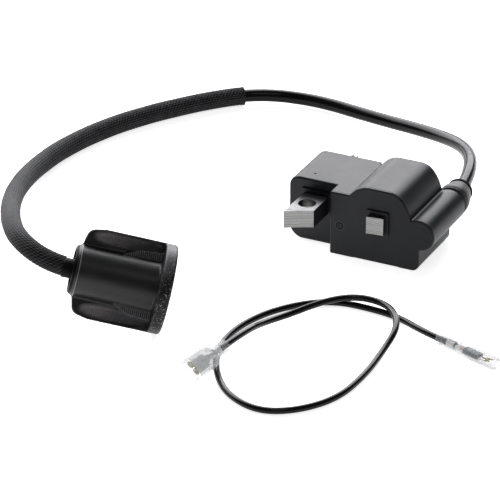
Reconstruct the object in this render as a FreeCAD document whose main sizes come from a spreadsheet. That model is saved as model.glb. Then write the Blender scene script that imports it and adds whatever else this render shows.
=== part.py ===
"""Flywheel-magneto ignition coil with its spark plug lead, plug boot and
loose short-circuit lead.

Frame: +Z up, the coil stands on its flat underside at z = 0.  The core legs
point to -Y (towards the flywheel), the lead tower runs along +Y.
The origin is the middle of the coil's underside.
"""
import FreeCAD, Part
import math
import os

import Sketcher
from FreeCAD import Placement, Rotation, Vector

os.makedirs("parts", exist_ok=True)
doc = FreeCAD.newDocument("IgnitionCoil")

# ---------------------------------------------------------------- dimensions
DIMS = [
    ("shift_x", 10.7, "coil's own corner to the origin, X"),
    ("shift_y", 14.3, "coil's own corner to the origin, Y"),
    ("body_top", 24.6, "height of the flat top"),
    ("body_depth", 28.3, "front face to back face"),
    ("dome_top", 28.95, "height of the winding dome's flat crown"),
    ("crown_x0", 15.0, "left end of the crown, X"),
    ("crown_x1", 22.9, "right end of the crown, X"),
    ("brow_r", 8.5, "round from the flat top up to the crown"),
    ("shoulder_r", 6.6, "round from the crown to the flank"),
    ("flank_r", 15.1, "large round of the flank"),
    ("slab_x", 34.7, "right side of the base"),
    ("tower_x", 34.6, "lead tower axis, X"),
    ("tower_z", 14.4, "lead tower axis, Z"),
    ("tower_r", 5.85, "lead tower outer radius"),
    ("tower_len", 28.3, "lead tower length"),
    ("tower_bore", 2.6, "lead tower bore radius"),
    ("left_x", -19.1, "left side of the electronics block"),
    ("left_front", 6.1, "set-back of the electronics block"),
    ("left_back", 30.2, "back face of the electronics block"),
    ("wall", 1.8, "moulding wall"),
    ("core_z", 12.7, "underside of the lamination stack"),
    ("core_thick", 6.6, "thickness of the lamination stack"),
    ("lug_hole_r", 3.3, "fixing hole radius, M6 clearance"),
    ("lead_r", 2.5, "spark plug lead radius"),
    ("braid_r", 3.5, "braided sleeve outer radius"),
    ("braid_in_r", 2.65, "braided sleeve inner radius"),
    ("grommet_r", 5.9, "lead grommet outer radius"),
    ("grommet_len", 11.5, "lead grommet length"),
    ("boot_r", 9.1, "boot barrel outer radius"),
    ("boot_len", 28.0, "boot barrel length"),
    ("flange_r", 15.7, "boot flange radius"),
    ("flange_thick", 4.3, "boot flange thickness"),
    ("wing_thick", 3.8, "grip wing thickness"),
    ("socket_r", 5.5, "plug socket radius"),
    ("kill_r", 1.15, "short-circuit wire radius"),
]
sheet = doc.addObject("Spreadsheet::Sheet", "Dims")
for row, (alias, value, note) in enumerate(DIMS, start=1):
    sheet.set("A%d" % row, alias.replace("_", " "))
    sheet.set("B%d" % row, str(value))
    sheet.set("C%d" % row, note)
    sheet.setAlias("B%d" % row, alias)
doc.recompute()
D = {alias: float(sheet.get(alias)) for alias, _, _ in DIMS}

SX, SY = D["shift_x"], D["shift_y"]
NODES = {}


# ------------------------------------------------------------------- helpers
def keep(label, obj):
    obj.Label = label
    NODES[label] = obj
    return obj


def seat(obj, x=0.0, y=0.0, z=0.0, rot=None):
    """Places an object given in the coil's own corner frame."""
    obj.Placement = Placement(Vector(x - SX, y - SY, z), rot or Rotation())
    obj.setExpression(".Placement.Base.x", "%.6f - Dims.shift_x" % x)
    obj.setExpression(".Placement.Base.y", "%.6f - Dims.shift_y" % y)
    return obj


def body(label):
    b = doc.addObject("PartDesign::Body", label)
    return keep(label, b)


def plane(b, role):
    for f in b.Origin.OriginFeatures:
        if f.Role == role:
            return f


def sketch(b, name, role, geoms, offset=0.0, expr=None):
    """A sketch on one of the body's own planes, moved along its normal."""
    s = b.newObject("Sketcher::SketchObject", name)
    s.AttachmentSupport = [(plane(b, role), "")]
    s.MapMode = "FlatFace"
    s.AttachmentOffset = Placement(Vector(0, 0, offset), Rotation())
    if expr:
        s.setExpression(".AttachmentOffset.Base.z", expr)
    for g in geoms:
        s.addGeometry(g, False)
    return s


def seg(a, b_):
    return Part.LineSegment(Vector(a[0], a[1], 0), Vector(b_[0], b_[1], 0))


def arc3(a, m, b_):
    return Part.Arc(Vector(a[0], a[1], 0), Vector(m[0], m[1], 0), Vector(b_[0], b_[1], 0))


def poly(pts):
    return [seg(pts[i], pts[(i + 1) % len(pts)]) for i in range(len(pts))]


def rounded(pts, radii):
    """Closed polygon whose corners are rounded by the given radii."""
    n = len(pts)
    cuts = []
    for i in range(n):
        p, a, c = Vector(*pts[i], 0), Vector(*pts[i - 1], 0), Vector(*pts[(i + 1) % n], 0)
        r = radii[i] if isinstance(radii, (list, tuple)) else radii
        if r <= 0:
            cuts.append((p, None, p))
            continue
        u, v = (a - p).normalize(), (c - p).normalize()
        half = math.acos(max(-1, min(1, u.dot(v)))) / 2
        t = r / math.tan(half)
        bis = (u + v).normalize()
        ctr = p + bis * (r / math.sin(half))
        cuts.append((p + u * t, ctr - bis * r, p + v * t))
    out = []
    for i in range(n):
        s0, mid, s1 = cuts[i]
        if mid is not None:
            out.append(Part.Arc(s0, mid, s1))
        nxt = cuts[(i + 1) % n][0]
        if (nxt - s1).Length > 1e-6:
            out.append(Part.LineSegment(s1, nxt))
    return out


def rect(x0, z0, x1, z1, r=0.0):
    return rounded([(x0, z0), (x1, z0), (x1, z1), (x0, z1)], r)


def circle(x, z, r):
    return Part.Circle(Vector(x, z, 0), Vector(0, 0, 1), r)


def round_sketch(b, name, role, x, z, alias, offset=0.0, expr=None):
    """A circle whose radius is bound to the sheet."""
    s = sketch(b, name, role, [circle(x, z, D[alias])], offset, expr)
    s.addConstraint(Sketcher.Constraint("Radius", 0, D[alias]))
    s.renameConstraint(0, "radius")
    s.setExpression("Constraints.radius", "Dims.%s" % alias)
    return s


def pad(b, name, sk, length, reverse=False, expr=None, midplane=False):
    p = b.newObject("PartDesign::Pad", name)
    p.Profile = sk
    p.Length = length
    p.Reversed = reverse
    p.Midplane = midplane
    if expr:
        p.setExpression("Length", expr)
    return p


def pocket(b, name, sk, length, reverse=False, expr=None, midplane=False):
    p = b.newObject("PartDesign::Pocket", name)
    p.Profile = sk
    p.Length = length
    p.Reversed = reverse
    p.Midplane = midplane
    if expr:
        p.setExpression("Length", expr)
    return p


def revolve(b, name, sk, axis="V_Axis"):
    r = b.newObject("PartDesign::Revolution", name)
    r.Profile = sk
    r.ReferenceAxis = (sk, [axis])
    r.Angle = 360
    return r


def fillet(b, name, base, pick, radius):
    """Rounds the edges of the base feature that pick() accepts."""
    doc.recompute()
    names = ["Edge%d" % (i + 1) for i, e in enumerate(base.Shape.Edges) if pick(e)]
    f = b.newObject("PartDesign::Fillet", name)
    f.Base = (base, names)
    f.Radius = radius
    doc.recompute()
    if f.Shape.isNull() or not f.isValid() or not f.Shape.isValid():
        print("fillet not possible:", name, len(names))
        b.removeObject(f)
        doc.removeObject(f.Name)
        b.Tip = base
        doc.recompute()
        return base
    print("fillet", name, len(names), "edges")
    return f


def mid(e):
    return e.valueAt((e.FirstParameter + e.LastParameter) / 2)


def box(label, x, y, z, dx, dy, dz):
    o = doc.addObject("Part::Box", label)
    o.Length, o.Width, o.Height = dx, dy, dz
    seat(o, x, y, z)
    return o


def cyl_y(label, x, y, z, r, length):
    """Cylinder along +Y."""
    o = doc.addObject("Part::Cylinder", label)
    o.Radius, o.Height = r, length
    seat(o, x, y, z, Rotation(Vector(1, 0, 0), -90))
    return o


def cyl_z(label, x, y, z, r, length):
    o = doc.addObject("Part::Cylinder", label)
    o.Radius, o.Height = r, length
    seat(o, x, y, z)
    return o


def cut(label, base, *tools):
    cur = base
    for i, t in enumerate(tools):
        c = doc.addObject("Part::Cut", label + "_cut%d" % i)
        c.Base, c.Tool = cur, t
        cur = c
    return cur


def fuse(label, *objs):
    f = doc.addObject("Part::MultiFuse", label + "_fuse")
    f.Shapes = list(objs)
    return f


def solid(label, shape, placement=None):
    o = doc.addObject("Part::Feature", label)
    o.Shape = shape
    if placement:
        o.Placement = placement
    return keep(label, o)


# ------------------------------------------------ moulded housing (open back)
tx, tz, R2 = D["tower_x"], D["tower_z"], D["tower_r"]
top, slab = D["body_top"], D["slab_x"]
CT, X0, X1 = D["dome_top"], D["crown_x0"], D["crown_x1"]
RS, RF = D["shoulder_r"], D["flank_r"]
SA = math.radians(40)                            # where the shoulder turns into the flank
# centre of the flank's round, on the line through the shoulder's centre
cx, cz = X1 - (RF - RS) * math.cos(SA), CT - RS - (RF - RS) * math.sin(SA)


def arc_mid(c, r, a0, a1):
    am = (a0 + a1) / 2
    return (c[0] + r * math.cos(am), c[1] + r * math.sin(am))


def outline(inset=0.0):
    """Top outline of the main block from the flat top to the end of the
    shoulder: blend, brow, crown, shoulder.  inset moves the walls inwards."""
    r0, rs = D["brow_r"] - inset, RS - inset
    zt = top - inset
    bx, bz = X0, CT - D["brow_r"]                # centre of the brow
    rf = 2.0 + inset
    dx = math.sqrt((r0 + rf) ** 2 - (zt + rf - bz) ** 2)
    fx, fz = bx - dx, zt + rf                    # centre of the concave blend
    a = (fx, zt)
    k = r0 / (r0 + rf)
    b_ = (bx + (fx - bx) * k, bz + (fz - bz) * k)
    ang1 = math.atan2(b_[1] - fz, b_[0] - fx)
    m = arc_mid((fx, fz), rf, -math.pi / 2, ang1)
    c_ = (X0, CT - inset)
    d_ = (X1, CT - inset)
    e_ = (X1 + rs * math.cos(SA), CT - RS + rs * math.sin(SA))
    aB0 = math.atan2(b_[1] - bz, b_[0] - bx)
    return [arc3(a, m, b_), arc3(b_, arc_mid((bx, bz), r0, aB0, math.pi / 2), c_), seg(c_, d_),
            arc3(d_, arc_mid((X1, CT - RS), rs, math.pi / 2, SA), e_)], zt, a, e_


crest, zt, A, EE = outline()
# valley between the flank and the tower, a small concave blend
rv = 0.8
dd = math.hypot(tx - cx, tz - cz)
aa = ((RF + rv) ** 2 - (R2 + rv) ** 2 + dd ** 2) / (2 * dd)
hh = math.sqrt((RF + rv) ** 2 - aa ** 2)
ux, uz = (tx - cx) / dd, (tz - cz) / dd
vx, vz = cx + ux * aa - uz * hh, cz + uz * aa + ux * hh
C1 = (cx + (vx - cx) * RF / (RF + rv), cz + (vz - cz) * RF / (RF + rv))
C2 = (tx + (vx - tx) * R2 / (R2 + rv), tz + (vz - tz) * R2 / (R2 + rv))
VM = (vx + rv * math.cos(math.atan2((C1[1] + C2[1]) / 2 - vz, (C1[0] + C2[0]) / 2 - vx)),
      vz + rv * math.sin(math.atan2((C1[1] + C2[1]) / 2 - vz, (C1[0] + C2[0]) / 2 - vx)))
SB = (slab, tz - math.sqrt(R2 ** 2 - (slab - tx) ** 2))       # tower meets the slab side
rc = 2.8                                                       # foot corner
aC = math.atan2(C1[1] - cz, C1[0] - cx)
aD = math.atan2(C2[1] - tz, C2[0] - tx)
aE = math.atan2(SB[1] - tz, SB[0] - tx)

housing = body("coil_housing")
seat(housing)
front = [
    seg((0, 0), (0, top)), seg((0, top), A)] + crest + [
    arc3(EE, arc_mid((cx, cz), RF, SA, aC), C1), arc3(C1, VM, C2),
    arc3(C2, arc_mid((tx, tz), R2, aD, aE), SB), seg(SB, (slab, rc)),
    arc3((slab, rc), (slab - rc + rc * math.cos(-math.pi / 4), rc + rc * math.sin(-math.pi / 4)), (slab - rc, 0)),
    seg((slab - rc, 0), (0, 0)),
]
s = sketch(housing, "front_outline", "XZ_Plane", front)
p_main = pad(housing, "main_block", s, D["body_depth"], True, "Dims.body_depth")
lx, lf = D["left_x"], D["left_front"]
s = sketch(housing, "left_outline", "XZ_Plane",
           rounded([(lx, 0), (3, 0), (3, top), (lx, top)], [5.2, 0, 0, 4.0]), -lf, "-Dims.left_front")
lb = D["left_back"]
p_left = pad(housing, "electronics_block", s, lb - lf, True, "Dims.left_back - Dims.left_front")
s = round_sketch(housing, "tower_outline", "XZ_Plane", tx, tz, "tower_r")
p_tower = pad(housing, "lead_tower", s, D["tower_len"], True, "Dims.tower_len")
f1 = fillet(housing, "front_edge_round", p_tower,
            lambda e: abs(mid(e).y) < 1e-5 and abs(e.Vertexes[0].Point.y) < 1e-5 and mid(e).x > 0.05, 0.55)
f2 = fillet(housing, "left_edge_round", f1,
            lambda e: abs(mid(e).y - lf) < 1e-5 and abs(e.Vertexes[0].Point.y - lf) < 1e-5 and mid(e).x < -0.2, 0.8)
f3 = fillet(housing, "corner_round", f2,
            lambda e: abs(mid(e).x) < 1e-4 and 0 < mid(e).y < lf and mid(e).z > top - 1
            and abs(e.Vertexes[0].Point.x) < 1e-4, 0.4)
# raised lips where the core legs leave the moulding
s = sketch(housing, "lug_lip_outline", "XZ_Plane", rect(-14.2, 11.5, -1.9, 20.9, 0.8), -lf + 0.0)
p_lip1 = pad(housing, "lug_lip", s, 0.9, False)
s = sketch(housing, "pole_lip_outline", "XZ_Plane", rect(14.2, 11.7, 23.0, 20.9, 0.7))
p_lip2 = pad(housing, "pole_lip", s, 0.7, False)
# potting space, open at the back
s = sketch(housing, "left_space", "XZ_Plane",
           rounded([(lx + 1.8, 1.8), (3, 1.8), (3, top - 1.8), (lx + 1.8, top - 1.8)], [3.2, 0, 0, 2.2]),
           -lb)
pocket(housing, "electronics_space", s, lb - lf - 1.8, True)
w = D["wall"]
crest_in, zti, Ai, Ei = outline(w)
xr = 29.65                                                     # inner right wall
rfi = RF - w
zr = cz + math.sqrt(rfi ** 2 - (xr - cx) ** 2)
aRi = math.atan2(zr - cz, xr - cx)
inner = [seg((1.0, w), (1.0, zti)), seg((1.0, zti), Ai)] + crest_in + [
    arc3(Ei, arc_mid((cx, cz), rfi, SA, aRi), (xr, zr)), seg((xr, zr), (xr, w)), seg((xr, w), (1.0, w))]
s = sketch(housing, "winding_space_outline", "XZ_Plane", inner, -D["body_depth"])
pocket(housing, "winding_space", s, D["body_depth"] - 2.0, True)
# the electronics side stands further back than the dome: end wall of that step
s = sketch(housing, "step_wall_outline", "XZ_Plane",
           poly([(2.9, 0), (6.6, 0), (6.6, top), (2.9, top), (2.9, top - 1.8), (4.8, top - 1.8), (4.8, 1.8), (2.9, 1.8)]), -26.9)
pad(housing, "step_wall", s, lb - 26.9, True)
cz0, ct = D["core_z"], D["core_thick"]
s = sketch(housing, "lug_window", "XZ_Plane", rect(-12.7, cz0, -3.2, cz0 + ct), 0)
pocket(housing, "lug_opening", s, 10.0, True)
s = sketch(housing, "pole_window", "XZ_Plane", rect(15.5, cz0, 21.8, cz0 + ct), 1.0)
pocket(housing, "pole_opening", s, 4.0, True)
s = round_sketch(housing, "tower_bore_outline", "XZ_Plane", tx, tz, "tower_bore", -D["tower_len"], "-Dims.tower_len")
pocket(housing, "tower_bore_cut", s, D["tower_len"] - 5.0, True)
s = sketch(housing, "link_slot", "XZ_Plane", rect(29.5, tz - 1.0, tx, tz + 1.0), -9.5)
pocket(housing, "link_passage", s, 3.0, True)
# moulding marks: an ejector ring on the front and a gate dot on the top
s = sketch(housing, "ejector_outline", "XZ_Plane", [circle(3.8, 11.8, 1.35), circle(3.8, 11.8, 1.0)])
pocket(housing, "ejector_ring", s, 0.18, True)
s = sketch(housing, "gate_outline", "XY_Plane", [circle(-11.1, 11.1, 0.45)], top)
pocket(housing, "gate_dot", s, 0.3, False)
# base relief
s = sketch(housing, "relief_outline", "XY_Plane", rect(9.0, -1.0, 27.0, 30.0), 0.0)
pocket(housing, "base_relief", s, 0.35, True)

# ----------------------------------------------------------- laminated core
RFW, FX, FY = 73.0, 29.0, -83.2          # flywheel arc the leg ends are ground to


def fw(x):
    return FY + math.sqrt(RFW ** 2 - (x - FX) ** 2)


core = body("laminated_core")
seat(core, 0, 0, 0)
xa, xb = -12.7, -3.2
ya, yb = -12.1, -7.0
core_geo = [
    arc3((xa, ya), ((xa + xb) / 2, (ya + yb) / 2 + 0.25), (xb, yb)),
    seg((xb, yb), (xb, 20.4)), seg((xb, 20.4), (15.5, 20.4)), seg((15.5, 20.4), (15.5, -3.1)),
    arc3((15.5, -3.1), (18.65, -2.55), (21.8, -2.3)),
    seg((21.8, -2.3), (21.8, 20.4)), seg((21.8, 20.4), (21.8, 26.6)),
    arc3((21.8, 26.6), (21.8 + 0.703, 26.6 + 1.131), (24.2, 28.2)),
    seg((24.2, 28.2), (24.2, 34.0)), arc3((24.2, 34.0), (19.2, 39.0), (14.2, 34.0)),
    seg((14.2, 34.0), (14.2, 28.2)), arc3((14.2, 28.2), (13.731, 27.069), (12.6, 26.6)),
    seg((12.6, 26.6), (xa, 26.6)), seg((xa, 26.6), (xa, ya)),
]
s = sketch(core, "lamination_outline", "XY_Plane", core_geo, cz0, "Dims.core_z")
core_pad = pad(core, "lamination_stack", s, ct, False, "Dims.core_thick")
s = round_sketch(core, "fixing_hole_front", "XY_Plane", -7.95, -2.5, "lug_hole_r", cz0 + ct, "Dims.core_z + Dims.core_thick")
pocket(core, "front_hole", s, ct + 1)
s = round_sketch(core, "fixing_hole_rear", "XY_Plane", 19.2, 34.0, "lug_hole_r", cz0 + ct, "Dims.core_z + Dims.core_thick")
pocket(core, "rear_hole", s, ct + 1)
s = sketch(core, "rivet_holes", "XY_Plane", [circle(-7.95, 23.5, 1.2), circle(9.0, 23.5, 1.2)], cz0 + ct)
pocket(core, "rivet_hole_cut", s, ct + 1)

# rivets through the yoke, heads on both faces (one node, two solids)
riv = []
for x in (-7.95, 9.0):
    c0 = Part.makeCylinder(1.2, ct, Vector(x, 23.5, cz0))
    h0 = Part.makeCylinder(2.0, 0.8, Vector(x, 23.5, cz0 + ct))
    h1 = Part.makeCylinder(2.0, 0.8, Vector(x, 23.5, cz0 - 0.8))
    riv.append(c0.fuse([h0, h1]).removeSplitter())
solid("core_rivets", Part.makeCompound(riv), Placement(Vector(-SX, -SY, 0), Rotation()))

# ----------------------------------- windings round the centre leg (along Y)
WX, WZ = 18.65, 16.0


def reel(label, y0, y1, r_in, r_bar, r_fl, flanges, square=None):
    """Bobbin: barrel, flanges, and a square or round hole."""
    parts = [Part.makeCylinder(r_bar, y1 - y0, Vector(WX, y0, WZ), Vector(0, 1, 0))]
    for (fy, ft) in flanges:
        parts.append(Part.makeCylinder(r_fl, ft, Vector(WX, fy, WZ), Vector(0, 1, 0)))
    sh = parts[0].fuse(parts[1:]).removeSplitter()
    if square:
        hx, hz = square
        sh = sh.cut(Part.makeBox(2 * hx, y1 - y0 + 2, 2 * hz, Vector(WX - hx, y0 - 1, WZ - hz)))
    else:
        sh = sh.cut(Part.makeCylinder(r_in, y1 - y0 + 2, Vector(WX, y0 - 1, WZ), Vector(0, 1, 0)))
    return solid(label, sh, Placement(Vector(-SX, -SY, 0), Rotation()))


def ring(y0, y1, r_in, r_out):
    return Part.makeCylinder(r_out, y1 - y0, Vector(WX, y0, WZ), Vector(0, 1, 0)).cut(
        Part.makeCylinder(r_in, y1 - y0, Vector(WX, y0, WZ), Vector(0, 1, 0)))


reel("primary_bobbin", 3.0, 19.6, 0, 5.2, 7.2, [(3.0, 0.9), (18.7, 0.9)], (3.2, 3.35))
solid("primary_winding", ring(3.9, 18.7, 5.2, 7.0), Placement(Vector(-SX, -SY, 0), Rotation()))
reel("secondary_bobbin", 3.0, 19.6, 7.3, 8.1, 10.8, [(3.0, 0.8), (6.95, 0.7), (10.85, 0.7), (14.8, 0.7), (18.8, 0.8)])
solid("secondary_winding", Part.makeCompound([ring(a, b_, 8.1, 10.4) for a, b_ in
      ((3.8, 6.95), (7.65, 10.85), (11.55, 14.8), (15.5, 18.8))]), Placement(Vector(-SX, -SY, 0), Rotation()))

# charge coil round the left leg
cb = Part.makeBox(11.5, 10.4, 8.6, Vector(-13.7, 9.6, 11.7)).fuse([
    Part.makeBox(14.9, 0.8, 12.0, Vector(-15.4, 8.8, 10.0)), Part.makeBox(14.9, 0.8, 12.0, Vector(-15.4, 19.2, 10.0))]).removeSplitter()
cb = cb.cut(Part.makeBox(9.7, 14, 6.8, Vector(-12.8, 7.5, 12.6)))
solid("charge_bobbin", cb, Placement(Vector(-SX, -SY, 0), Rotation()))
cw = Part.makeBox(14.1, 9.6, 11.2, Vector(-15.0, 9.6, 10.4))
cw = cw.makeFillet(1.2, [e for e in cw.Edges if abs(mid(e).y - 14.4) < 0.01])
cw = cw.cut(Part.makeBox(11.5, 9.6, 8.6, Vector(-13.7, 9.6, 11.7)))
solid("charge_winding", cw, Placement(Vector(-SX, -SY, 0), Rotation()))

# ------------------------------------------------------ electronics, z < 10
pcb = box("circuit_board", -16.6, 8.6, 3.0, 15.6, 18.0, 1.2)
keep("circuit_board", pcb)
cap = doc.addObject("Part::Box", "capacitor_block")
cap.Length, cap.Width, cap.Height = 7.4, 11.0, 4.6
seat(cap, -15.6, 9.6, 4.2)
capf = doc.addObject("Part::Fillet", "discharge_capacitor")
capf.Base = cap
doc.recompute()
capf.Edges = [(i + 1, 0.6, 0.6) for i, e in enumerate(cap.Shape.Edges)
              if abs(mid(e).z - 4.2) > 0.01]
keep("discharge_capacitor", capf)
keep("thyristor", box("thyristor", -6.6, 10.0, 4.2, 4.4, 4.6, 2.4))
dio = [Part.makeCylinder(1.25, 4.2, Vector(x, 20.6, 5.45), Vector(0, 1, 0)) for x in (-14.6, -11.4)]
solid("diodes", Part.makeCompound(dio), Placement(Vector(-SX, -SY, 0), Rotation()))
res = [Part.makeBox(3.2, 1.6, 0.7, Vector(-6.4, y, 4.2)) for y in (16.2, 19.0, 21.8)]
solid("chip_resistors", Part.makeCompound(res), Placement(Vector(-SX, -SY, 0), Rotation()))

# earth strap: from the board up to the side of the yoke
es = body("earth_strap")
seat(es)
s = sketch(es, "strap_outline", "YZ_Plane",
           poly([(24.4, 4.2), (25.0, 4.2), (25.0, cz0), (24.4, cz0)]), -3.6)
pad(es, "strap", s, 2.4)

# blade for the short-circuit lead, out of the potting
kt = body("kill_tab")
seat(kt)
s = sketch(kt, "blade_outline", "XY_Plane",
           rounded([(-8.0, 24.0), (-5.2, 24.0), (-5.2, 36.6), (-8.0, 36.6)], [0, 0, 0.7, 0.7]), 21.8)
kp = pad(kt, "blade", s, 0.8)
s = sketch(kt, "detent", "XY_Plane", [circle(-6.6, 34.2, 0.6)], 22.6)
pocket(kt, "detent_hole", s, 2.0)

# high-voltage contact: cup, spike and the link to the secondary
sp = body("hv_contact_spike")
seat(sp, tx, 0, tz, Rotation(Vector(1, 0, 0), -90))
s = sketch(sp, "spike_outline", "XZ_Plane",
           poly([(0, 5.0), (2.3, 5.0), (2.3, 7.0), (1.0, 7.0), (1.0, 15.4), (0, 18.6)]))
revolve(sp, "spike", s)
solid("hv_link", Part.makeBox(3.0, 0.5, 1.6, Vector(29.3, 10.0, tz - 0.8)).fuse(
    Part.makeBox(0.5, 1.0, 1.6, Vector(29.3, 9.5, tz - 0.8))).removeSplitter(), Placement(Vector(-SX, -SY, 0), Rotation()))

# -------------------------------------------------- potting, fills the space
space_l = Part.Face(Part.Wire([e.toShape() for e in rounded(
    [(lx + 1.8, 1.8), (3, 1.8), (3, top - 1.8), (lx + 1.8, top - 1.8)], [3.2, 0, 0, 2.2])]))
space_m = Part.Face(Part.Wire([e.toShape() for e in inner]))
up = Placement(Vector(0, 0, 0), Rotation(Vector(1, 0, 0), 90))
back, back_l = D["body_depth"] - 0.9, lb - 0.9
sol = []
for face, y0, y1 in ((space_l, lf + 1.8, back_l), (space_m, 2.0, back)):
    face.Placement = up
    f = face.copy()
    f.translate(Vector(0, y0, 0))
    sol.append(f.extrude(Vector(0, y1 - y0, 0)))
step = Part.makeBox(1.9, back_l - 26.9, top - 3.6, Vector(2.9, 26.9, 1.8))
fill = sol[0].fuse([sol[1], step]).removeSplitter()
fill = fill.cut(Part.makeBox(1.8, 2.0, top - 3.6, Vector(4.8, 26.9, 1.8)))
doc.recompute()
INSIDE = ["laminated_core", "core_rivets", "primary_bobbin", "primary_winding", "secondary_bobbin",
          "secondary_winding", "charge_bobbin", "charge_winding", "circuit_board", "discharge_capacitor",
          "thyristor", "diodes", "chip_resistors", "earth_strap", "kill_tab", "hv_link"]
for label in INSIDE:
    tool = NODES[label].Shape.copy()
    tool.translate(Vector(SX, SY, 0))
    fill = fill.cut(tool)
print("potting solids", len(fill.Solids), "volume", round(fill.Volume, 1))
big = max(fill.Solids, key=lambda q: q.Volume)
solid("potting_resin", big, Placement(Vector(-SX, -SY, 0), Rotation()))

# small boss the blade comes out through
bs = Part.makeBox(5.6, 1.6, 2.3, Vector(-10.4, back_l, 20.45)).fuse(
    Part.makeCylinder(0.8, 33.8 - back_l, Vector(-9.2, back_l, 21.9), Vector(0, 1, 0))).removeSplitter()
kts = NODES["kill_tab"].Shape.copy()
kts.translate(Vector(SX, SY, 0))
bs = bs.cut(kts)
solid("tab_boss", bs, Placement(Vector(-SX, -SY, 0), Rotation()))

# ---------------------------------------------------- grommet behind the tower
gr = body("hv_grommet")
seat(gr, tx - 0.6, 0, tz, Rotation(Vector(1, 0, 0), -90))
y0 = D["tower_len"]
gl, rg = D["grommet_len"], D["grommet_r"]
prof = [(2.5, y0), (rg - 1.0, y0), (rg - 1.0, y0 + 1.3), (rg, y0 + 1.3), (rg, y0 + 2.0), (rg - 0.25, y0 + 2.2),
        (rg, y0 + 2.4), (rg, y0 + 3.1), (rg - 0.25, y0 + 3.3), (rg, y0 + 3.5), (rg - 0.1, y0 + 5.2),
        (rg - 1.2, y0 + gl - 0.3), (rg - 1.6, y0 + gl), (2.5, y0 + gl)]
s = sketch(gr, "grommet_outline", "XZ_Plane", poly(prof))
revolve(gr, "grommet", s)
# dark lip disc at the grommet's rear
gc = body("grommet_lip")
seat(gc, tx - 0.6, 0, tz, Rotation(Vector(1, 0, 0), -90))
s = sketch(gc, "lip_outline", "XZ_Plane",
           rounded([(2.5, y0 + gl), (rg - 1.1, y0 + gl), (rg - 1.1, y0 + gl + 0.9), (2.5, y0 + gl + 0.9)], [0, 0.3, 0.3, 0]))
revolve(gc, "lip", s)


# -------------------------------------------------------------------- cords
def route(points, name, diameter):
    """Straight runs joined by tangent arcs, each arc as large as its runs allow."""
    P = [Vector(*p) for p in points]
    runs = [(P[i + 1] - P[i]).Length for i in range(len(P) - 1)]
    edges, at, radii = [], P[0], []
    for i in range(1, len(P) - 1):
        u = (P[i - 1] - P[i]).normalize()
        v = (P[i + 1] - P[i]).normalize()
        turn = math.pi - math.acos(max(-1, min(1, u.dot(v))))
        t = 0.45 * min(runs[i - 1], runs[i])
        r = t / math.tan(turn / 2)
        radii.append(r)
        a, b_ = P[i] + u * t, P[i] + v * t
        bis = (u + v).normalize()
        ctr = P[i] + bis * math.hypot(t, r)
        m = ctr - bis * r
        edges.append(Part.LineSegment(at, a))
        edges.append(Part.Arc(a, m, b_))
        at = b_
    edges.append(Part.LineSegment(at, P[-1]))
    print(name, "runs", [round(x, 1) for x in runs])
    print(name, "radii", [round(x, 1) for x in radii], "smallest / diameter", round(min(radii) / diameter, 1))
    return edges


def tube(edges, radius):
    w_ = Part.Wire([e.toShape() for e in edges])
    p0 = w_.OrderedVertexes[0].Point
    d0 = (edges[0].toShape().valueAt(edges[0].toShape().LastParameter) - p0).normalize()
    c = Part.Wire([Part.Circle(p0, d0, radius).toShape()])
    sh = w_.makePipeShell([c], True, True)
    return sh, w_.Length


def part_of(edges, s0, s1):
    """The stretch of a route between two lengths along it."""
    out, at = [], 0.0
    for e in edges:
        sh = e.toShape()
        L = sh.Length
        a, b_ = max(s0, at), min(s1, at + L)
        if b_ - a > 1e-4:
            pa = sh.valueAt(sh.FirstParameter if a - at < 1e-6 else sh.getParameterByLength(a - at))
            pb = sh.valueAt(sh.LastParameter if at + L - b_ < 1e-6 else sh.getParameterByLength(b_ - at))
            if isinstance(e, Part.LineSegment):
                out.append(Part.LineSegment(pa, pb))
            else:
                pm = sh.valueAt(sh.getParameterByLength((a + b_) / 2 - at))
                out.append(Part.Arc(pa, pm, pb))
        at += L
    return out


def where(edges, test):
    """Length along the route of the first point that passes the test."""
    at = 0.0
    for e in edges:
        sh = e.toShape()
        for k in range(60):
            p = sh.valueAt(sh.getParameterByLength(sh.Length * k / 60.0))
            if test(p):
                return at + sh.Length * k / 60.0
        at += sh.Length
    return at


AX = Vector(0.875, 0.421, -0.240).normalize()                 # boot axis, entry to mouth
ENTRY = Vector(-53.6 - 10.7, -90.8 - 14.3, 23.15)
LEAD = [(23.9, 7.7, 14.4), (23.6, 24.5, 14.4), (17.7, 50.0, 14.1), (6.5, 68.1, 11.4), (-12.3, 81.6, 7.0),
        (-39.7, 91.6, 3.4), (-69.0, 97.8, 3.0), (-92.8, 90.9, 3.8), (-112.2, 68.6, 3.8), (-127.8, 42.5, 3.7),
        (-135.6, 14.9, 3.8), (-135.2, -10.7, 5.0), (-128.2, -34.2, 9.4), (-118.0, -56.0, 15.6),
        (-107.6, -74.7, 22.2), (-98.6, -89.7, 27.0), (-91.0, -100.0, 28.8), (-83.8, -105.4, 28.2),
        (-75.9, -107.5, 26.2)]
pe = ENTRY - AX * 3.5
pf = ENTRY + AX * 4.9
LEAD += [(round(pe.x, 1), round(pe.y, 1), round(pe.z, 1)), (round(pf.x, 1), round(pf.y, 1), round(pf.z, 1))]
print("lead route", LEAD)
le = route(LEAD, "hv_lead", 2 * D["lead_r"])
sh, ll = tube(le, D["lead_r"])
print("hv_lead length", round(ll, 1), "volume ratio", round(sh.Volume / (math.pi * D["lead_r"] ** 2 * ll), 5))
spike_local = Part.makeCylinder(1.0, 8.4, Vector(tx - SX, 7.0 - SY, tz), Vector(0, 1, 0))
solid("hv_lead", sh)

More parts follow.
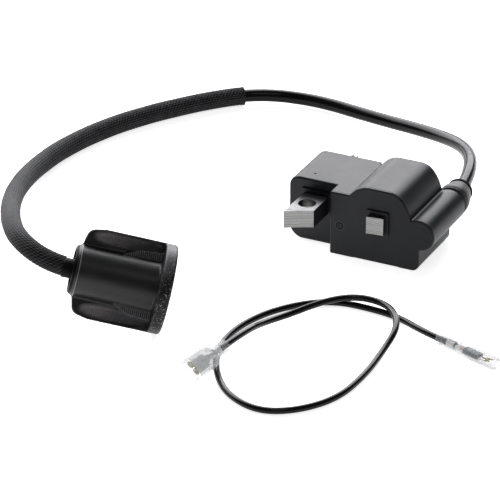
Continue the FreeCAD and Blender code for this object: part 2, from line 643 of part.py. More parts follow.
start = where(le, lambda p: p.x < -94.6 and p.y > 0)
end = ll - 4.9 - 4.6
be = part_of(le, start, end)
outer, bl = tube(be, D["braid_r"])
innr, _ = tube(be, D["braid_in_r"])
bs_ = outer.cut(innr)
print("braided_sleeve length", round(bl, 1), "volume ratio",
      round(bs_.Volume / (math.pi * (D["braid_r"] ** 2 - D["braid_in_r"] ** 2) * bl), 5))
solid("braided_sleeve", bs_)

KILL = [(59.5, -63.4, 2.6), (46.3, -59.2, 2.6), (32.2, -50.2, 1.4), (20.8, -48.1, 1.2), (8.0, -48.4, 1.2),
        (-2.6, -55.4, 1.2), (-11.4, -69.3, 1.2), (-15.3, -85.8, 1.2), (-13.2, -100.7, 1.2), (-6.5, -114.4, 1.2),
        (3.5, -125.8, 1.2), (17.2, -131.1, 1.2), (28.7, -125.0, 1.2), (37.3, -111.8, 1.2), (38.9, -93.3, 1.2),
        (37.7, -75.0, 1.6), (37.4, -62.9, 4.4), (32.0, -53.0, 5.0), (25.3, -47.7, 4.4), (17.6, -46.9, 4.4),
        (11.1, -50.7, 4.9), (4.9, -57.9, 4.4), (-2.1, -65.9, 1.7), (-6.8, -76.7, 2.6), (-6.66, -91.6, 6.5)]
MK = Vector(-11.0, -124.3, 6.5)                              # mouth of the wide terminal's sleeve
A2 = Vector(0.1315, 0.9913, 0.0).normalize()
kend = MK + A2 * 17.0
KILL.append((round(kend.x, 2), round(kend.y, 2), round(kend.z, 2)))
ke = route(KILL, "kill_wire", 2 * D["kill_r"])
sh, kl = tube(ke, D["kill_r"])
print("kill_wire length", round(kl, 1), "volume ratio", round(sh.Volume / (math.pi * D["kill_r"] ** 2 * kl), 5))
solid("kill_wire", sh)

# -------------------------------------------------------- spark plug boot
# local frame: Z along the boot from the lead entry to the mouth, X out along the wings
WV = Vector(0.0018, 0.4922, 0.870)
WV = (WV - AX * WV.dot(AX)).normalize()
YV = AX.cross(WV)
mtx = FreeCAD.Matrix(WV.x, YV.x, AX.x, ENTRY.x, WV.y, YV.y, AX.y, ENTRY.y, WV.z, YV.z, AX.z, ENTRY.z, 0, 0, 0, 1)
BP = Placement(mtx)
bl_, fr, ft = D["boot_len"], D["flange_r"], D["flange_thick"]
br, sr = D["boot_r"], D["socket_r"]
mouth = bl_ + ft
boot = body("boot_shell")
boot.Placement = BP
prof = rounded([(2.5, 1.0), (2.5, 4.9), (3.6, 4.9), (3.6, 12.4), (sr, 12.4), (sr, mouth - 2.2), (sr + 1.6, mouth - 1.0),
                (12.6, mouth - 1.0), (13.2, mouth), (fr, mouth), (fr, bl_), (br + 0.3, bl_), (br, 0.0), (br - 0.9, -1.7),
                (5.4, -1.7), (4.8, 1.0)],
               [0, 0, 0, 0, 0, 0, 0.4, 0, 0, 0.9, 0.9, 1.2, 0.25, 0.6, 0.4, 0])
s = sketch(boot, "boot_outline", "XZ_Plane", prof)
rv_ = revolve(boot, "barrel_and_flange", s)
wing = rounded([(6.0, 0.9), (9.2, 0.2), (14.6, 1.4), (15.7, 7.0), (15.7, bl_ + 1.0), (6.0, bl_ + 1.0)], [0, 0.8, 3.2, 2.0, 0, 0])
wing2 = rounded([(-x, z) for x, z in [(6.0, 0.9), (9.2, 0.2), (14.6, 1.4), (15.7, 7.0), (15.7, bl_ + 1.0), (6.0, bl_ + 1.0)]],
                [0, 0.8, 3.2, 2.0, 0, 0])
s = sketch(boot, "wing_outline", "XZ_Plane", wing + wing2)
wg = pad(boot, "grip_wings", s, D["wing_thick"], False, "Dims.wing_thick", True)
gus = rounded([(6.5, 13.0), (9.3, 15.0), (11.4, 20.0), (12.0, bl_ + 1.0), (6.5, bl_ + 1.0)], [0, 1.5, 6.0, 0, 0])
gus2 = rounded([(-x, z) for x, z in [(6.5, 13.0), (9.3, 15.0), (11.4, 20.0), (12.0, bl_ + 1.0), (6.5, bl_ + 1.0)]], [0, 1.5, 6.0, 0, 0])
s = sketch(boot, "root_web_outline", "XZ_Plane", gus + gus2)
gw = pad(boot, "root_webs", s, 7.2, False, None, True)
# finger scoops: shallow hollows across both faces of both wings

# terminal spring inside the boot: close turns that grip the plug's nut
turns, per, rr, wr = 3.0, 10, 2.6, 0.4
pts = []
nturn = int(turns * per)
for k in range(nturn + 1):
    a = 2 * math.pi * k / per
    pts.append((rr * math.cos(a), rr * math.sin(a), 6.2 + 5.4 * k / nturn))
P_ = [Vector(*p) for p in pts]
seq, at = [], P_[0]
for i in range(1, len(P_) - 1):
    u, v = (P_[i - 1] - P_[i]), (P_[i + 1] - P_[i])
    t = 0.45 * min(u.Length, v.Length)
    u.normalize()
    v.normalize()
    turn = math.pi - math.acos(max(-1, min(1, u.dot(v))))
    r = t / math.tan(turn / 2)
    bis = (u + v).normalize()
    ctr = P_[i] + bis * math.hypot(t, r)
    a_, b_ = P_[i] + u * t, P_[i] + v * t
    seq += [Part.LineSegment(at, a_), Part.Arc(a_, ctr - bis * r, b_)]
    at = b_
seq.append(Part.LineSegment(at, P_[-1]))
spring, _ = tube(seq, wr)
solid("boot_terminal_spring", spring, BP)
# contact pin: pierces the lead's end and carries the spring
pin = body("boot_contact_pin")
pin.Placement = BP
s = sketch(pin, "pin_outline", "XZ_Plane", poly([(0, 4.9), (2.1, 4.9), (2.1, 5.7), (1.3, 5.7), (1.3, 9.6), (0.6, 10.4), (0, 10.4)]))
revolve(pin, "pin", s)

# ------------------------------------------- wide terminal of the loose lead
# local frame: X from the sleeve's mouth towards the wire, Z through the blade
roll = math.radians(38.0)
XV = A2
side = Vector(A2.y, -A2.x, 0)                                  # level, to the right of the terminal
ZV = Vector(0, 0, 1)
Yl = (side * math.cos(roll) - ZV * math.sin(roll)) * -1.0
Zl = XV.cross(Yl)
PW = Placement(FreeCAD.Matrix(XV.x, Yl.x, Zl.x, MK.x, XV.y, Yl.y, Zl.y, MK.y, XV.z, Yl.z, Zl.z, MK.z, 0, 0, 0, 1))
tw = body("kill_terminal_wide")
tw.Placement = PW
s = sketch(tw, "receptacle_outline", "YZ_Plane", poly([
    (-2.85, -1.0), (2.85, -1.0), (2.85, 0.9), (0.7, 0.9), (0.7, 0.5), (2.45, 0.5), (2.45, -0.6), (-2.45, -0.6),
    (-2.45, 0.5), (-0.7, 0.5), (-0.7, 0.9), (-2.85, 0.9)]), 1.6)
pad(tw, "receptacle", s, 6.4)
s = sketch(tw, "strap_outline_w", "YZ_Plane", rect(-1.3, -1.0, 1.3, -0.6), 7.9)
pad(tw, "neck_strap", s, 3.2)
s = sketch(tw, "crimp_outline_w", "YZ_Plane", [circle(0, 0, 1.42), circle(0, 0, 1.151)], 13.6)
pad(tw, "insulation_crimp", s, 3.2)
s = sketch(tw, "core_crimp_w", "YZ_Plane", [circle(0, -0.1, 1.05)], 10.4)
pad(tw, "conductor_crimp", s, 2.8)
s = sketch(tw, "tail_strap_w", "YZ_Plane", rect(-0.8, -1.38, 0.8, -0.98), 10.0)
pad(tw, "tail_strap", s, 4.2)


def clear_sleeve(label, pl, sections, inner_sections):
    """Clear sleeve: stacked rounded sections along local X with a hollow."""
    def stack(secs):
        out = None
        for (x0, x1, w0, h0, r0, w1, h1, r1_) in secs:
            def wire(x, w_, h_, r_):
                g = rounded([(-w_ / 2, -h_ / 2), (w_ / 2, -h_ / 2), (w_ / 2, h_ / 2), (-w_ / 2, h_ / 2)], r_)
                wv = Part.Wire([e.toShape() for e in g])
                wv.Placement = Placement(FreeCAD.Matrix(0, 0, 1, x, 1, 0, 0, 0, 0, 1, 0, 0, 0, 0, 0, 1))
                return wv
            a = wire(x0, w0, h0, r0)
            if (w0, h0, r0) == (w1, h1, r1_):
                q = Part.Face(a).extrude(Vector(x1 - x0, 0, 0))
            else:
                q = Part.makeLoft([a, wire(x1, w1, h1, r1_)], True, True)
            out = q if out is None else out.fuse(q)
        return out
    sh_ = stack(sections).cut(stack(inner_sections))
    return solid(label, sh_, pl)


clear_sleeve("kill_sleeve_wide", PW,
             [(0, 11.0, 8.4, 5.2, 1.7, 8.4, 5.2, 1.7), (11.0, 13.4, 8.4, 5.2, 1.7, 4.3, 4.3, 2.0),
              (13.4, 20.5, 4.3, 4.3, 2.0, 4.3, 4.3, 2.0)],
             [(-1, 10.6, 6.6, 3.4, 0.9, 6.6, 3.4, 0.9), (10.6, 12.8, 6.6, 3.4, 0.9, 3.3, 3.3, 1.55),
              (12.8, 21.0, 3.3, 3.3, 1.55, 3.3, 3.3, 1.55)])

# ----------------------------------------- narrow terminal of the loose lead
RK1 = Vector(77.6, -69.4, 2.6)                                 # closed-end side of the narrow sleeve
A1 = Vector(-0.9494, 0.3141, 0).normalize()
Yn = Vector(-A1.y, A1.x, 0)
PN = Placement(FreeCAD.Matrix(A1.x, Yn.x, 0, RK1.x, A1.y, Yn.y, 0, RK1.y, 0, 0, 1, RK1.z, 0, 0, 0, 1))
tn = body("kill_terminal_narrow")
tn.Placement = PN
s = sketch(tn, "tongue_outline", "XY_Plane", rounded([(2.6, -1.3), (8.4, -1.3), (8.4, 1.3), (2.6, 1.3)], [0.8, 0, 0, 0.8]), -0.25)
pad(tn, "tongue", s, 0.5)
s = sketch(tn, "box_outline", "YZ_Plane", rect(-1.65, -0.95, 1.65, 0.95, 0.3), 8.2)
pad(tn, "box_section", s, 7.4)
s = sketch(tn, "core_crimp_n", "YZ_Plane", [circle(0, 0, 0.95)], 15.5)
pad(tn, "conductor_crimp", s, 2.7)
s = sketch(tn, "tail_strap_n", "YZ_Plane", rect(-0.8, -1.38, 0.8, -0.88), 15.5)
pad(tn, "tail_strap", s, 4.0)
s = sketch(tn, "crimp_outline_n", "YZ_Plane", [circle(0, 0, 1.42), circle(0, 0, 1.151)], 19.0)
pad(tn, "insulation_crimp", s, 3.4)
clear_sleeve("kill_sleeve_narrow", PN,
             [(0, 27.0, 5.0, 5.0, 2.45, 5.0, 5.0, 2.45)],
             [(-1, 28.0, 4.0, 4.0, 1.95, 4.0, 4.0, 1.95)])

# ------------------------------------------------------------- test and write
doc.recompute()
bad = []
for o in doc.Objects:
    if "Invalid" in o.State or "Error" in o.State:
        bad.append((o.Name, o.State))
for label, o in NODES.items():
    if o.Shape.isNull() or not o.Shape.isValid() or not o.Shape.Solids:
        bad.append((label, "shape"))
if bad:
    raise SystemExit("failed objects: %s" % bad)
for old in os.listdir("parts"):
    if old.endswith(".step"):
        os.remove(os.path.join("parts", old))
for label, o in NODES.items():
    bb = o.Shape.BoundBox
    print("%-24s solids %d vol %9.1f  x %7.1f %7.1f  y %7.1f %7.1f  z %6.2f %6.2f" % (
        label, len(o.Shape.Solids), o.Shape.Volume, bb.XMin, bb.XMax, bb.YMin, bb.YMax, bb.ZMin, bb.ZMax))
    o.Shape.exportStep("parts/%s.step" % label)
print(len(NODES), "nodes")
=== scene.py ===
import bpy, bmesh, math, random
import numpy as np
from mathutils import Vector, Matrix, Quaternion


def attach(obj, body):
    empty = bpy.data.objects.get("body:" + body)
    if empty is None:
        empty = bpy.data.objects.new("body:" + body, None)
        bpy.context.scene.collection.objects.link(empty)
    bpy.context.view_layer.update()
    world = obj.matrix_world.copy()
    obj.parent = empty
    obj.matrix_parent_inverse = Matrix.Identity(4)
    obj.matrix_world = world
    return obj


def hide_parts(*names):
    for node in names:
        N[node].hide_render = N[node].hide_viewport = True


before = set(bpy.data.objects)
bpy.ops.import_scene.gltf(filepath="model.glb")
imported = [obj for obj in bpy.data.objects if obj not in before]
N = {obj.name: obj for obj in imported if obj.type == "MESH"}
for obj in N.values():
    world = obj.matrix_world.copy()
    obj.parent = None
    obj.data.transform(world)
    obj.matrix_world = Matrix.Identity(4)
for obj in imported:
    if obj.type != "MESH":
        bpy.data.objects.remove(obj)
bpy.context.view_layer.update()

scene = bpy.context.scene
MM = 0.001
rng = random.Random(7)


# ------------------------------------------------------------------ camera
def v3(*a):
    return Vector(a)


AZ, EL, DIST, LENS = math.radians(26.0), math.radians(27.0), 1.260, 252.0
CR = v3(math.cos(AZ), math.sin(AZ), 0)
CU = v3(-math.sin(AZ) * math.sin(EL), math.cos(AZ) * math.sin(EL), math.cos(EL))
CF = v3(-math.sin(AZ) * math.cos(EL), math.cos(AZ) * math.cos(EL), -math.sin(EL))
CORNER = v3(-10.7, -14.3, 0) * MM
TARGET = CORNER - CR * 0.028656 + CU * 0.001044
cam = bpy.data.objects.new("camera", bpy.data.cameras.new("camera"))
scene.collection.objects.link(cam)
cam.data.lens = LENS
cam.data.sensor_width = 36.0
cam.data.clip_end = 50
m = Matrix((CR, CU, -CF)).transposed().to_4x4()
m.translation = TARGET - CF * DIST
cam.matrix_world = m
scene.camera = cam


# --------------------------------------------------------- floor and light
def link(o):
    scene.collection.objects.link(o)
    return o


def mesh_obj(name, verts, faces, smooth=True):
    me = bpy.data.meshes.new(name)
    me.from_pydata([tuple(v) for v in verts], [], faces)
    me.update()
    if smooth:
        me.polygons.foreach_set("use_smooth", [True] * len(me.polygons))
    return link(bpy.data.objects.new(name, me))


floor = mesh_obj("floor", [(-6, -6, 0), (6, -6, 0), (6, 8, 0), (-6, 8, 0)], [(0, 1, 2, 3)], False)
scene.view_settings.view_transform = "Standard"
scene.view_settings.look = "None"
world = bpy.data.worlds.new("studio")
scene.world = world
world.use_nodes = True
bg = world.node_tree.nodes["Background"]
bg.inputs["Color"].default_value = (1.0, 1.0, 1.0, 1)
bg.inputs["Strength"].default_value = 0.13


def area(name, pos, size, power, aim=(0, -0.01, 0.01), color=(1, 1, 1), spread=180):
    d = bpy.data.lights.new(name, "AREA")
    d.shape = "RECTANGLE"
    d.size, d.size_y = size
    d.energy = power
    d.color = color
    d.spread = math.radians(spread)
    o = link(bpy.data.objects.new(name, d))
    o.location = pos
    o.rotation_euler = (Vector(aim) - Vector(pos)).to_track_quat("-Z", "Y").to_euler()
    return o


def aimed(name, az, el, dist, size, radiance, **kw):
    """A soft box in the direction az (from +Y, clockwise) and el, facing the part."""
    a, e = math.radians(az), math.radians(el)
    p = v3(math.sin(a) * math.cos(e), math.cos(a) * math.cos(e), math.sin(e)) * dist
    return area(name, tuple(p + v3(-0.03, 0, 0.01)), size, radiance * math.pi * size[0] * size[1],
                aim=(-0.03, 0, 0.01), **kw)


aimed("back_box", -40, 34, 1.5, (2.7, 1.25), 6.6, color=(1.0, 1.0, 1.03))
aimed("front_fill", 150, 60, 2.2, (0.8, 0.8), 2.0)


# --------------------------------------------------------------- materials
class Mat:
    """Small helper round a node material."""

    def __init__(self, name):
        self.m = bpy.data.materials.new(name)
        self.m.use_nodes = True
        self.t = self.m.node_tree
        self.b = self.t.nodes["Principled BSDF"]
        self.tc = None

    def n(self, kind, **kw):
        nd = self.t.nodes.new(kind)
        for k, v in kw.items():
            setattr(nd, k, v)
        return nd

    def set(self, **kw):
        for k, v in kw.items():
            self.b.inputs[k.replace("_", " ")].default_value = v
        return self

    def link(self, a, b):
        self.t.links.new(a, b)

    def coords(self, scale=1000.0):
        """Object coordinates in millimetres."""
        tc = self.n("ShaderNodeTexCoord")
        mp = self.n("ShaderNodeMapping")
        mp.inputs["Scale"].default_value = (scale,) * 3 if not isinstance(scale, tuple) else scale
        self.link(tc.outputs["Object"], mp.inputs["Vector"])
        return mp.outputs["Vector"]

    def noise(self, vec, scale, detail=3.0, rough=0.5, dist=0.0):
        nd = self.n("ShaderNodeTexNoise")
        nd.inputs["Scale"].default_value = scale
        nd.inputs["Detail"].default_value = detail
        nd.inputs["Roughness"].default_value = rough
        nd.inputs["Distortion"].default_value = dist
        self.link(vec, nd.inputs["Vector"])
        return nd.outputs["Fac"]

    def ramp(self, fac, stops):
        nd = self.n("ShaderNodeValToRGB")
        el = nd.color_ramp.elements
        while len(el) < len(stops):
            el.new(0.5)
        for e, (p, c) in zip(el, stops):
            e.position = p
            e.color = tuple(c) + (1,) if len(c) == 3 else tuple(c)
        self.link(fac, nd.inputs["Fac"])
        return nd.outputs["Color"]

    def maprange(self, fac, a, b, c, d):
        nd = self.n("ShaderNodeMapRange")
        for i, v in enumerate((a, b, c, d)):
            nd.inputs[i + 1].default_value = v
        self.link(fac, nd.inputs[0])
        return nd.outputs[0]

    def math(self, op, a, b=None):
        nd = self.n("ShaderNodeMath", operation=op)
        for i, v in enumerate((a, b)):
            if v is None:
                continue
            if isinstance(v, (int, float)):
                nd.inputs[i].default_value = v
            else:
                self.link(v, nd.inputs[i])
        return nd.outputs[0]

    def mix(self, fac, a, b):
        nd = self.n("ShaderNodeMix", data_type="RGBA")
        if isinstance(fac, (int, float)):
            nd.inputs[0].default_value = fac
        else:
            self.link(fac, nd.inputs[0])
        for i, v in ((6, a), (7, b)):
            if isinstance(v, tuple):
                nd.inputs[i].default_value = tuple(v) + (1,) if len(v) == 3 else v
            else:
                self.link(v, nd.inputs[i])
        return nd.outputs[2]

    def bump(self, height, strength, dist=0.0001, after=None):
        nd = self.n("ShaderNodeBump")
        nd.inputs["Strength"].default_value = strength
        nd.inputs["Distance"].default_value = dist
        self.link(height, nd.inputs["Height"])
        if after is not None:
            self.link(after, nd.inputs["Normal"])
        self.link(nd.outputs["Normal"], self.b.inputs["Normal"])
        return nd.outputs["Normal"]

    def color(self, out):
        self.link(out, self.b.inputs["Base Color"])

    def rough(self, out):
        self.link(out, self.b.inputs["Roughness"])


def plastic(name, c0, c1, r0, r1, grain=3.0, bump=0.12, spec=0.5, big=0.12):
    k = Mat(name)
    co = k.coords()
    broad = k.noise(co, big, 4, 0.55)
    fine = k.noise(co, grain, 3, 0.6)
    k.color(k.ramp(broad, [(0.3, c0), (0.7, c1)]))
    mixd = k.math("ADD", k.math("MULTIPLY", broad, 0.6), k.math("MULTIPLY", fine, 0.4))
    k.rough(k.maprange(mixd, 0.3, 0.7, r0, r1))
    k.bump(fine, bump, 0.00006)
    k.set(Specular_IOR_Level=spec)
    return k.m


M = {}
M["floor"] = plastic("floor_paper", (0.90, 0.90, 0.90), (0.93, 0.93, 0.93), 0.85, 0.95, 0.4, 0.02, 0.1, 0.01)
M["floor"].node_tree.nodes["Principled BSDF"].inputs["Emission Color"].default_value = (1, 1, 1, 1)
M["floor"].node_tree.nodes["Principled BSDF"].inputs["Emission Strength"].default_value = 0.80
floor.data.materials.append(M["floor"])


def housing_plastic():
    """Black moulded plastic: spark-eroded grain, soft flow marks, a parting line
    behind the front edge (painted shade in its groove, a painted highlight along it),
    an ejector mark on the front (painted shade in its ring and dot, a painted highlight on its rim)."""
    k = Mat("housing_plastic")
    co = k.coords()
    geo = k.n("ShaderNodeNewGeometry")
    nz = k.n("ShaderNodeSeparateXYZ")
    k.link(geo.outputs["Normal"], nz.inputs[0])
    tc = k.n("ShaderNodeTexCoord")
    ps = k.n("ShaderNodeSeparateXYZ")
    k.link(tc.outputs["Object"], ps.inputs[0])
    x, y, z = [k.math("MULTIPLY", ps.outputs[i], 1000.0) for i in range(3)]
    broad = k.noise(co, 0.10, 4, 0.55)
    flow = k.noise(k.coords((220, 220, 60)), 1.0, 4, 0.6, 0.6)
    fine = k.noise(co, 2.8, 3, 0.65)
    pits = k.noise(co, 5.5, 2, 0.5)
    col = k.ramp(k.math("ADD", k.math("MULTIPLY", broad, 0.6), k.math("MULTIPLY", flow, 0.4)),
                 [(0.3, (0.0036, 0.0044, 0.0062)), (0.7, (0.0072, 0.0078, 0.0098))])
    speck = k.maprange(fine, 0.60, 0.72, 0.0, 1.0)
    col = k.mix(k.math("MULTIPLY", speck, 0.35), col, (0.022, 0.023, 0.026))
    # parting line, 1.1 mm behind the front, on every face that runs back: painted shade in its groove and a painted
    # highlight along its edge
    side = k.maprange(k.math("ABSOLUTE", nz.outputs["Y"]), 0.2, 0.5, 1.0, 0.0)
    wob = k.math("MULTIPLY", k.math("SUBTRACT", k.noise(co, 0.8, 3, 0.6), 0.5), 0.16)
    dy = k.math("ADD", k.math("SUBTRACT", y, -13.15), wob)
    dark = k.maprange(k.math("ABSOLUTE", dy), 0.07, 0.17, 1.0, 0.0)
    parting_edge_highlight = k.maprange(k.math("ABSOLUTE", k.math("SUBTRACT", dy, 0.26)), 0.05, 0.16, 1.0, 0.0)
    right = k.maprange(x, -11.2, -10.4, 0.0, 1.0)
    dark = k.math("MULTIPLY", k.math("MULTIPLY", dark, side), right)
    parting_edge_highlight = k.math("MULTIPLY", k.math("MULTIPLY", parting_edge_highlight, side), right)
    # ejector mark on the front: painted shade in the dark ring and dot, a painted highlight for the pale lower rim
    ex = k.math("SUBTRACT", x, -6.9)
    ez = k.math("SUBTRACT", z, 11.8)
    rr = k.math("SQRT", k.math("ADD", k.math("MULTIPLY", ex, ex), k.math("MULTIPLY", ez, ez)))
    front = k.maprange(k.math("MULTIPLY", nz.outputs["Y"], -1.0), 0.6, 0.8, 0.0, 1.0)
    ring = k.math("MULTIPLY", k.maprange(k.math("ABSOLUTE", k.math("SUBTRACT", rr, 1.25)), 0.16, 0.34, 1.0, 0.0), front)
    dot = k.math("MULTIPLY", k.maprange(rr, 0.28, 0.5, 1.0, 0.0), front)
    rim_highlight = k.math("MULTIPLY", k.maprange(k.math("ABSOLUTE", k.math("SUBTRACT", rr, 1.68)), 0.06, 0.22, 1.0, 0.0), front)
    # painted shade: parting groove, ejector ring and dot darkened
    col = k.mix(k.math("MAXIMUM", k.math("MAXIMUM", ring, dot), dark), col, (0.0006, 0.0006, 0.0008))
    # painted highlight: ejector rim and parting-line edge lightened
    col = k.mix(k.math("MAXIMUM", k.math("MULTIPLY", rim_highlight, 0.30), k.math("MULTIPLY", parting_edge_highlight, 0.75)), col, (0.080, 0.083, 0.090))
    k.color(col)
    k.rough(k.math("ADD", k.maprange(k.math("ADD", k.math("MULTIPLY", broad, 0.5), k.math("MULTIPLY", fine, 0.5)),
                                     0.3, 0.7, 0.36, 0.47), k.math("MULTIPLY", k.math("MAXIMUM", ring, dark), 0.35)))
    h = k.math("ADD", k.math("MULTIPLY", fine, 0.5), k.math("MULTIPLY", pits, 0.3))
    h = k.math("ADD", h, k.math("MULTIPLY", k.math("ADD", dark, k.math("ADD", ring, dot)), -1.2))
    h = k.math("ADD", h, k.math("MULTIPLY", flow, 0.8))
    k.bump(h, 0.32, 0.00008)
    k.set(Specular_IOR_Level=0.22)
    return k.m


M["housing"] = housing_plastic()
M["resin"] = plastic("potting_resin", (0.014, 0.014, 0.016), (0.024, 0.024, 0.026), 0.45, 0.7, 0.8, 0.5)
M["grommet"] = plastic("grommet_rubber", (0.010, 0.010, 0.011), (0.016, 0.016, 0.018), 0.40, 0.52, 3.0, 0.18, 0.32)
M["lip"] = plastic("lip_rubber", (0.003, 0.003, 0.003), (0.005, 0.005, 0.005), 0.6, 0.7, 3.0, 0.1, 0.25)
M["lead"] = plastic("lead_jacket", (0.0014, 0.0014, 0.0017), (0.0032, 0.0032, 0.0036), 0.18, 0.27, 1.6, 0.06, 0.13)
M["kill"] = plastic("kill_jacket", (0.0012, 0.0012, 0.0014), (0.0028, 0.0028, 0.0031), 0.15, 0.24, 1.6, 0.05, 0.20)
M["boot"] = plastic("boot_rubber", (0.0045, 0.0045, 0.0052), (0.0085, 0.0085, 0.0098), 0.40, 0.52, 2.0, 0.2, 0.42)
M["bobbin"] = plastic("bobbin_nylon", (0.62, 0.60, 0.52), (0.70, 0.68, 0.60), 0.4, 0.55)
M["board"] = plastic("board_epoxy", (0.02, 0.10, 0.04), (0.03, 0.14, 0.06), 0.3, 0.4)
M["cap"] = plastic("capacitor_dip", (0.30, 0.06, 0.02), (0.38, 0.09, 0.03), 0.25, 0.35)
M["chip"] = plastic("component_epoxy", (0.02, 0.02, 0.02), (0.03, 0.03, 0.03), 0.4, 0.5)


def metal(name, c0, c1, r0, r1, scale=(40, 900, 900), bump=0.1):
    k = Mat(name)
    co = k.coords(scale)
    br = k.noise(co, 1.0, 4, 0.6)
    k.color(k.ramp(br, [(0.3, c0), (0.7, c1)]))
    k.rough(k.maprange(br, 0.3, 0.7, r0, r1))
    k.set(Metallic=1.0)
    k.bump(br, bump, 0.00003)
    return k.m


M["tin"] = metal("tinned_brass", (0.62, 0.58, 0.48), (0.78, 0.75, 0.66), 0.22, 0.36)
M["tab"] = metal("tab_tin", (0.16, 0.155, 0.14), (0.30, 0.29, 0.26), 0.35, 0.5)
M["spring"] = metal("spring_steel", (0.5, 0.5, 0.5), (0.65, 0.65, 0.66), 0.2, 0.3)
M["rivet"] = metal("rivet_steel", (0.45, 0.45, 0.45), (0.6, 0.6, 0.6), 0.3, 0.45)
M["copper"] = metal("enamelled_copper", (0.45, 0.14, 0.04), (0.68, 0.26, 0.09), 0.2, 0.35, (300, 3500, 300), 0.6)


def core_steel():
    """Lamination stack: ground bright ends with sheet lines, black sides and a
    bare top that darkens towards the housing."""
    k = Mat("core_laminations")
    geo = k.n("ShaderNodeNewGeometry")
    sep = k.n("ShaderNodeSeparateXYZ")
    k.link(geo.outputs["Normal"], sep.inputs[0])
    tc = k.n("ShaderNodeTexCoord")
    pos = k.n("ShaderNodeSeparateXYZ")
    k.link(tc.outputs["Object"], pos.inputs[0])
    co = k.coords()
    # sheets, seen as bands about a millimetre apart, with finer joints between
    wob = k.math("MULTIPLY", k.noise(k.coords((230, 230, 90)), 1.0, 2, 0.5), 0.00060)
    z = k.math("ADD", pos.outputs["Z"], wob)
    ph = k.math("FRACT", k.math("MULTIPLY", z, 2000.0))
    gap = k.math("ABSOLUTE", k.math("SUBTRACT", ph, 0.5))
    line = k.maprange(gap, 0.34, 0.48, 0.0, 1.0)
    band = k.maprange(k.math("SINE", k.math("MULTIPLY", z, 2 * math.pi * 1000 / 1.05)), -1, 1, 0.0, 1.0)
    sheet_id = k.math("FLOOR", k.math("MULTIPLY", z, 2000.0))
    wn = k.n("ShaderNodeTexWhiteNoise", noise_dimensions="1D")
    k.link(sheet_id, wn.inputs["W"])
    tone = k.maprange(wn.outputs["Value"], 0, 1, 0.75, 1.0)
    scratch = k.noise(k.coords((2600, 2600, 300)), 1.0, 3, 0.6)
    # grinding marks across the centre leg's end
    dx = k.math("SUBTRACT", k.math("MULTIPLY", pos.outputs["X"], 0.52), pos.outputs["Z"])
    gwob = k.math("MULTIPLY", k.noise(k.coords((150, 150, 150)), 1.0, 2, 0.5), 0.0009)
    grind = k.maprange(k.math("SINE", k.math("MULTIPLY", k.math("ADD", dx, gwob), 2 * math.pi * 1000 / 0.86)), -1, 1, 0.0, 1.0)
    pole = k.maprange(pos.outputs["X"], 0.0, 0.001, 0.0, 1.0)
    str_ = k.n("ShaderNodeMix", data_type="FLOAT")
    k.link(pole, str_.inputs[0])
    k.link(band, str_.inputs[2])
    k.link(grind, str_.inputs[3])
    stripes = str_.outputs[0]
    val = k.math("MULTIPLY", k.math("MULTIPLY", tone, k.maprange(scratch, 0.3, 0.7, 0.85, 1.0)), k.maprange(stripes, 0, 1, 0.70, 1.0))
    base_end = k.ramp(val, [(0.3, (0.135, 0.133, 0.132)), (1.0, (0.40, 0.397, 0.392))])
    end_col = k.mix(k.math("MULTIPLY", line, k.maprange(pole, 0, 1, 0.55, 0.25)), base_end, (0.09, 0.088, 0.085))
    # top: bare near the hole, darker towards the housing
    fade = k.maprange(k.math("ADD", pos.outputs["Y"], k.math("MULTIPLY", k.noise(co, 0.35, 4, 0.6), 0.004)),
                      -0.0150, -0.0095, 0.0, 1.0)
    brushed = k.noise(k.coords((300, 2500, 300)), 1.0, 4, 0.6)
    mott = k.noise(co, 0.9, 4, 0.6)
    top_bare = k.ramp(k.math("ADD", k.math("MULTIPLY", brushed, 0.5), k.math("MULTIPLY", mott, 0.5)),
                      [(0.3, (0.078, 0.078, 0.079)), (0.7, (0.155, 0.154, 0.153))])
    top_col = k.mix(fade, top_bare, (0.035, 0.035, 0.037))
    black = k.mix(k.math("MULTIPLY", line, 0.5), (0.012, 0.012, 0.014), (0.004, 0.004, 0.004))
    is_end = k.maprange(k.math("MULTIPLY", sep.outputs["Y"], -1.0), 0.55, 0.7, 0.0, 1.0)
    is_top = k.maprange(sep.outputs["Z"], 0.7, 0.9, 0.0, 1.0)
    c1 = k.mix(is_top, black, top_col)
    k.color(k.mix(is_end, c1, end_col))
    met = k.math("MAXIMUM", is_end, k.math("MULTIPLY", is_top, k.maprange(fade, 0, 1, 1.0, 0.5)))
    k.link(met, k.b.inputs["Metallic"])
    k.rough(k.maprange(k.math("ADD", scratch, k.math("MULTIPLY", line, 0.3)), 0.3, 1.0, 0.32, 0.55))
    k.bump(k.math("ADD", k.math("MULTIPLY", scratch, 0.15), k.math("MULTIPLY", stripes, 0.5)), 0.5, 0.00010)
    k.set(Specular_IOR_Level=0.25)
    return k.m


M["core"] = core_steel()


def clear_vinyl():
    """Soft milky sleeve: thin, see-through, a little cloudier where it is thick."""
    k = Mat("clear_vinyl")
    co = k.coords()
    f = k.noise(co, 0.7, 4, 0.6)
    fine = k.noise(co, 3.0, 3, 0.6)
    lw = k.n("ShaderNodeLayerWeight")
    lw.inputs["Blend"].default_value = 0.35
    k.color(k.ramp(f, [(0.3, (0.44, 0.45, 0.46)), (0.7, (0.55, 0.56, 0.565))]))
    k.link(k.math("ADD", k.maprange(f, 0.3, 0.7, 0.12, 0.18), k.math("MULTIPLY", lw.outputs["Facing"], 0.42)),
           k.b.inputs["Alpha"])
    k.rough(k.maprange(f, 0.3, 0.7, 0.26, 0.36))
    k.bump(f, 0.04, 0.00008)
    k.set(Specular_IOR_Level=0.35)
    return k.m


M["clear"] = clear_vinyl()


def give(obj, mat):
    obj.data.materials.clear()
    obj.data.materials.append(mat)
    return obj


def paint(node, mat):
    o = N[node]
    if not o.material_slots:
        o.data.materials.append(mat)
    for s in o.material_slots:
        s.material = mat


